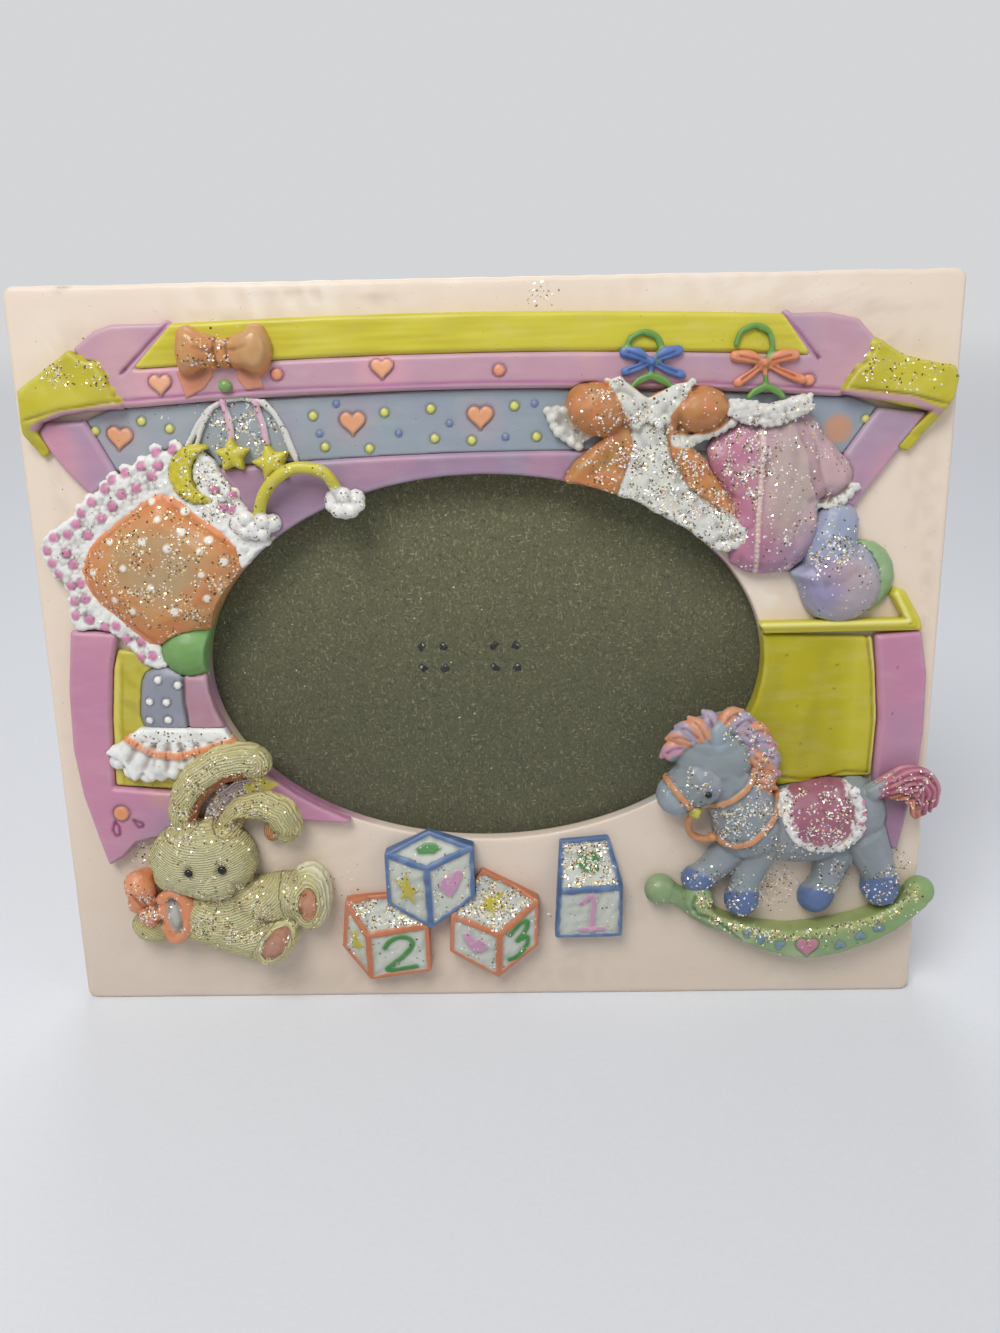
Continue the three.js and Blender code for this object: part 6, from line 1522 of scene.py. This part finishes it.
horse_forms = [
    pebble((54.3, 65.8, 5.2), (9.4, 8.5, 5.8)),
    roll([(51, 61.5, 5), (48.4, 59.4, 5), (45.6, 57.2, 5)], [7.1, 6.1, 5.2]),
    roll([(56, 63, 3.6), (61, 55, 2.6), (64, 48, 1.6)], [7.1, 8.1, 9.1]),
    pebble((78, 48.3, 1.5), (20.1, 10.3, 7.4), 4), pebble((89.5, 51, 1.5), (8.1, 9.1, 7.4)),
    roll([(66.5, 43, 3), (63.5, 34, 3.6), (62.4, 28.6, 3.8)], [5.1, 3.6, 4]),
    roll([(62, 43, 1.5), (55, 36, 1.5), (51.5, 33, 1.5)], [5.1, 3.5, 3.7]),
    roll([(92, 45, 2.4), (96.5, 36, 3), (97.2, 31, 3)], [6.1, 4.1, 4.5]),
    roll([(86, 41, 1.5), (84, 33, 1.5), (81.5, 28.3, 1.5)], [5.1, 3.7, 4.1]),
    pebble((52.6, 60.8, 6.6), (5.4, 4.6, 4.4), 40), pebble((54, 69.6, 6.4), (6.8, 4.6, 4.2)),
]
horse_details = [roll([(53.6, 70.4, 8.6), (54.2, 74, 9), (56.4, 77, 8.2)], [2.1, 2.3, 0.8], 0.7),
                 roll(LOOP, 0.75)]
horse_details += [roll([start, middle, tip], [1.1, 1.8, 0.5], 0.75)
                  for start, middle, tip, _ in STRANDS]
horse_details += [roll(strand[:5], [1, size, size, size, 0.4], 0.85) for *strand, size, _ in TAIL]
horse = Casting("rocking_horse", GREY, horse_forms, horse_details, grain=0.32, easing=14)
horse.mottle("#838d8a", 12, 81, 0.5)
horse.mottle("#9a9ba8", 7, 82, 0.5)
horse.lay(MUZZLE, soft(horse.inside([(42, 62), (49.6, 53.4), (48, 50), (38, 50), (36, 62)]), 1))
horse.dab("#93a3b0", (55, 74, 2, 4.4, -12), 1, 0.7)
for start, middle, tip, colour in STRANDS:
    line = through([start, middle, tip], 9)
    away, share = beside(horse.points, line)
    cover = soft(2.05 - away, 0.5) * soft(share - 0.04, 0.06)
    horse.lay(colour, cover)
    vein = soft(0.35 - beside(horse.points, line[1:-2, :2])[0], 0.4) * cover
    horse.lay("#8c6d78", vein * 0.5)
    horse.lift(vein, -0.25)
TAIL_GROUND = [(95, 56), (95, 61), (99, 64.5), (106, 64.5), (110, 58), (109, 49), (102, 49), (98.6, 55)]
horse.lay("#a9566c", soft(horse.inside(TAIL_GROUND), 1))
for *strand, size, colour in TAIL:
    horse.lay(colour, soft(size + 0.4 - beside(horse.points, through(strand[:5], 24))[0], 0.4))
TAIL_CREST = through([(95, 62.5), (100, 65), (106, 64.5), (110, 59.5), (110, 54)], 24)
TAIL_HAIRS = [(96.5, 56), (95.6, 61), (99, 65), (106.6, 65), (111, 58), (110, 49), (102, 49),
              (98.6, 55)]
hairs = np.sin(beside(horse.points, TAIL_CREST)[0] * 4.2) * soft(horse.inside(TAIL_HAIRS), 1)
horse.lift(hairs, 0.22)
# Painted shade in the grooves between the tail's hairs, and painted highlight on their crests.
horse.lay("#86405a", np.clip(-hairs, 0, 1) * 0.55)
horse.lay("#cb8f98", np.clip(hairs, 0, 1) * 0.35)
STRAPS = [[(42.3, 62), (45.5, 58.4), (49.3, 53.8)],
          [(49.6, 54), (54, 55.4), (58, 57.6), (62, 61), (63.6, 64)],
          [(50, 53.4), (51.2, 50), (53.4, 46.8), (58, 44.8), (62.4, 46.4), (66, 49.6), (69, 53),
           (70.4, 57.6)]]
for strap in STRAPS:
    cover = soft(horse.along(through(strap, 30), 1.4), 0.5) * soft(horse.points[:, 2] - 3, 1)
    horse.lift(cover, 0.55)
    horse.lay("#c98555", cover)
horse.lay("#c98555", soft(1.35 - beside(horse.points, through(LOOP, 24))[0], 0.4))
horse.badge(horse.spot(49.3, 53.7, 1.4), "#c0b540", 0.5, "#8d7e34", 0.35)
horse.dab("#78828b", (51.8, 59.4, 1.7), 1, 0.35)
bead(horse, 51.8, 59.4, 0.85)
for hoof in ((51.4, 33.4, 4.6, 2.6, -20), (62.6, 28.4, 4.6, 4, 0), (81.4, 28, 5, 3.6, 0),
             (97.2, 31.6, 5, 4, 0)):
    cover = soft(horse.spot(*hoof), 0.8)
    horse.lay(HOOF, cover)
    horse.lift(cover, 0.25)
for x, y, across, up, amount in [(57.5, 50.5, 4, 5, 2.4), (64, 53, 5, 5, 1.3), (66, 66, 5, 8, 0.8),
                                 (62, 74, 6, 4, 0.9), (48, 60, 6, 5, 0.8), (61, 31, 5, 6, 1.1),
                                 (86, 35, 5, 5, 0.8), (96, 33, 5, 6, 0.9), (99, 60, 6, 3, 1.4),
                                 (72, 44, 10, 4, 0.7), (53, 35, 5, 4, 0.6), (104, 58, 5, 5, 0.5)]:
    horse.dust((x, y, across, up), 3, amount)
horse.settle("horse_grey", wash=0.6)

FRINGE = [(71, 57.4), (70.6, 52), (73, 46.6), (78.6, 43.8), (84.6, 44.6), (88.2, 48.2), (89, 53.6),
          (87.2, 58.6)]
saddle = Casting("saddle", "#965b6f",
                 [pebble((80.4, 52, 3), (9.8, 7.8, 6.2), 6), pebble((85, 53, 3.4), (5.4, 7, 6))],
                 scallops(FRINGE[:5], 6.9, 1.1, 1.6) + scallops(FRINGE[4:], 8.8, 1.3, 1.6), grain=0.32)
saddle.mottle("#b07e8f", 7, 83, 0.6)
saddle.mottle("#8f5267", 5, 84, 0.4)
fringe = soft(saddle.along(through(FRINGE, 40), 3.4) + 0.5 * ripple(saddle.points, 2, 85), 0.6)
saddle.lay("#dedddc", fringe)
saddle.lift(fringe * ripple(saddle.points, 1.5, 86), 0.2)
saddle.dots([(89.6, 56.2), (89.9, 53.4), (89.2, 50.8)], 0.8, "#bf7596", 0.3)
saddle.dust((80, 51, 10, 8), 3, 1.1)
saddle.sprinkle(fringe, 0.8)
saddle.settle("saddle_pink", wash=0.6)

ROCKER_GREEN, DARK_GREEN = "#80996d", "#5d7c52"
ROCKER_TOP = through([(52, 29.4), (58, 24), (75, 20.4), (95, 24.3), (105, 31)], 30)
rocker = Casting("rocker", ROCKER_GREEN, [
    pebble((51.7, 28.6, 3.2), (3.7, 3.7, 3.4)), pebble((107, 30, 3.2), (3.7, 3.7, 3.4)),
    pebble((42.3, 30.6, 2), (3.9, 3.9, 3.6)),
    roll([(42.3, 30.6, 2), (47, 28.6, 1.6), (53, 24, 1.6), (61, 19.6, 1.4)], [3, 2.4, 2.6, 2.2])],
    grain=0.34, easing=7)
rocker.mottle("#a1b28b", 14, 87, 0.8)
rocker.lay("#7f9f61", rocker.fade((88, 22), (108, 30)) * 0.7)
rocker.lay("#98a35c", soft(rocker.along(ROCKER_TOP, 3.4), 1.5) * 0.7)
SCROLL = through([(50.4, 30.2), (49.8, 28), (51.2, 25.8), (53.6, 25), (57, 23.2), (62, 18.4)], 24)
rocker.scratch(SCROLL, 0.9, 0.35, DARK_GREEN)
rocker.badge(rocker.inside(heart(78.8, 16.4, 5.4)), "#b4788b", 0.3, "#7a8e68")
for x, y, turn in [(67, 19, 30), (71.7, 17.3, 20), (87, 17.2, -15), (92, 19.6, -25), (63.5, 20.5, 35),
                   (96.4, 21.8, -30)]:
    rocker.badge(rocker.inside(heart(x, y, 2.5, turn - 150)), "#67849a", 0.25, "#7c9068", 0.3)
rocker.sprinkle(soft(rocker.along(ROCKER_TOP, 3.6), 1.5), 1.9)
rocker.sprinkle(1, 0.08)
rocker.settle("rocker_green", gold=0.65)

# Glitter: flat six-sided flakes of clear, pearl and gold film set in the paint, thick where it
# was brushed on and stray elsewhere. Nodes strew them as thickly as each casting's glitter says.
def strewing():
    """The nodes that strew flakes over a bed."""
    tree = bpy.data.node_groups.new("strewing", "GeometryNodeTree")
    for label, kind in [("Bed", "Geometry"), ("Flake radius", "Float"), ("Flake thickness", "Float"),
                        ("Flakes", "Float"), ("Seed", "Int"), ("Film", "Material")]:
        tree.interface.new_socket(label, in_out="INPUT", socket_type="NodeSocket" + kind)
    tree.interface.new_socket("Strewn", in_out="OUTPUT", socket_type="NodeSocketGeometry")

    def add(kind, settings=None, inputs=None):
        made = tree.nodes.new(kind)
        for key, value in (settings or {}).items():
            setattr(made, key, value)
        for key, value in (inputs or {}).items():
            if isinstance(value, bpy.types.NodeSocket):
                tree.links.new(value, made.inputs[key])
            else:
                made.inputs[key].default_value = value
        return made.outputs

    given = add("NodeGroupInput")
    amount = add("GeometryNodeInputNamedAttribute", None, {"Name": "glitter"})["Attribute"]
    density = add("ShaderNodeMath", {"operation": "MULTIPLY"}, {0: amount, 1: given["Flakes"]})[0]
    strewn = add("GeometryNodeDistributePointsOnFaces", None, {
        "Mesh": given["Bed"], "Density": density, "Seed": given["Seed"]})
    tilt = add("FunctionNodeRandomValue", {"data_type": "FLOAT_VECTOR"},
               {0: (-0.5, -0.5, -3), 1: (0.5, 0.5, 3)})[0]
    size = add("FunctionNodeRandomValue", None, {2: 0.6, 3: 1.25})[1]
    hue = add("FunctionNodeRandomValue", None, {"Seed": 7})[1]
    turned = add("FunctionNodeRotateRotation", {"rotation_space": "LOCAL"}, {
        "Rotation": strewn["Rotation"], "Rotate By": tilt})[0]
    flake = add("GeometryNodeMeshCylinder", None, {
        "Vertices": 6, "Radius": given["Flake radius"], "Depth": given["Flake thickness"]})["Mesh"]
    laid = add("GeometryNodeInstanceOnPoints", None, {
        "Points": strewn["Points"], "Instance": flake, "Rotation": turned, "Scale": size})[0]
    kept = add("GeometryNodeStoreNamedAttribute", {"data_type": "FLOAT", "domain": "INSTANCE"}, {
        "Geometry": laid, "Name": "hue", "Value": hue})[0]
    real = add("GeometryNodeRealizeInstances", None, {"Geometry": kept})[0]
    coated = add("GeometryNodeSetMaterial", None, {"Geometry": real, "Material": given["Film"]})[0]
    add("NodeGroupOutput", None, {"Strewn": coated})
    return tree


def film(name, colours):
    """Metallised film, each flake in one of some colours."""
    finish = Finish(name, Metallic=0.4, Roughness=0.14)
    hue = finish.node("ShaderNodeAttribute", {"attribute_name": "hue"}, None, "Fac")
    colour = shade(colours[0][0])
    for text, start in colours[1:]:
        colour = finish.mix(hue.above(start, 0.01), colour, shade(text))
    finish.set(**{"Base Color": colour})
    return finish


bed_points = np.vstack([points for points, *_ in beds])
starts = np.cumsum([0] + [len(points) for points, *_ in beds[:-1]])
bed_faces = np.vstack([np.asarray(faces) + start for start, (_, faces, *_) in zip(starts, beds)])
bed_glitter = np.concatenate([glitter for _, _, glitter, _ in beds])
bed_gold = np.concatenate([np.full(len(points), gold) for points, *_, gold in beds])
strewer = strewing()
named = {item.name: item.identifier for item in strewer.interface.items_tree if item.in_out == "INPUT"}
FLAKE_RADIUS, FLAKE_THICKNESS = 0.27 * MM, 0.06 * MM
FLAKES_IN_FULL_GLITTER = 2.5e6
for name, share, seed, finish in [
        ("clear_glitter", 0.55 * (1 - bed_gold), 3,
         film("clear_film", [("#6f675c", 0), ("#a59c90", 0.16), ("#fbf8f2", 0.3)])),
        ("pearl_glitter", 0.45 * (1 - bed_gold), 5,
         film("pearl_film", [("#8a8882", 0), ("#dff0ea", 0.2), ("#f6e3ea", 0.5), ("#e6e4f6", 0.75)])),
        ("gold_glitter", bed_gold, 8,
         film("gold_film", [("#5e4a2c", 0), ("#8a7048", 0.2), ("#e2c98c", 0.36), ("#f9ecca", 0.64)]))]:
    bed = piece(name + "_bed", bed_points, bed_faces.tolist(), finish, glitter=bed_glitter * share)
    strew = bed.modifiers.new("strew", "NODES")
    strew.node_group = strewer
    for label, value in [("Flake radius", FLAKE_RADIUS), ("Flake thickness", FLAKE_THICKNESS),
                         ("Flakes", FLAKES_IN_FULL_GLITTER), ("Seed", seed), ("Film", finish.material)]:
        strew[named[label]] = value
    flakes = bpy.data.meshes.new_from_object(bed.evaluated_get(bpy.context.evaluated_depsgraph_get()))
    bed.modifiers.clear()
    bpy.data.objects.remove(bed)
    strewn = bpy.data.objects.new(name, flakes)
    scene.collection.objects.link(strewn)
    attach(strewn, "frame")
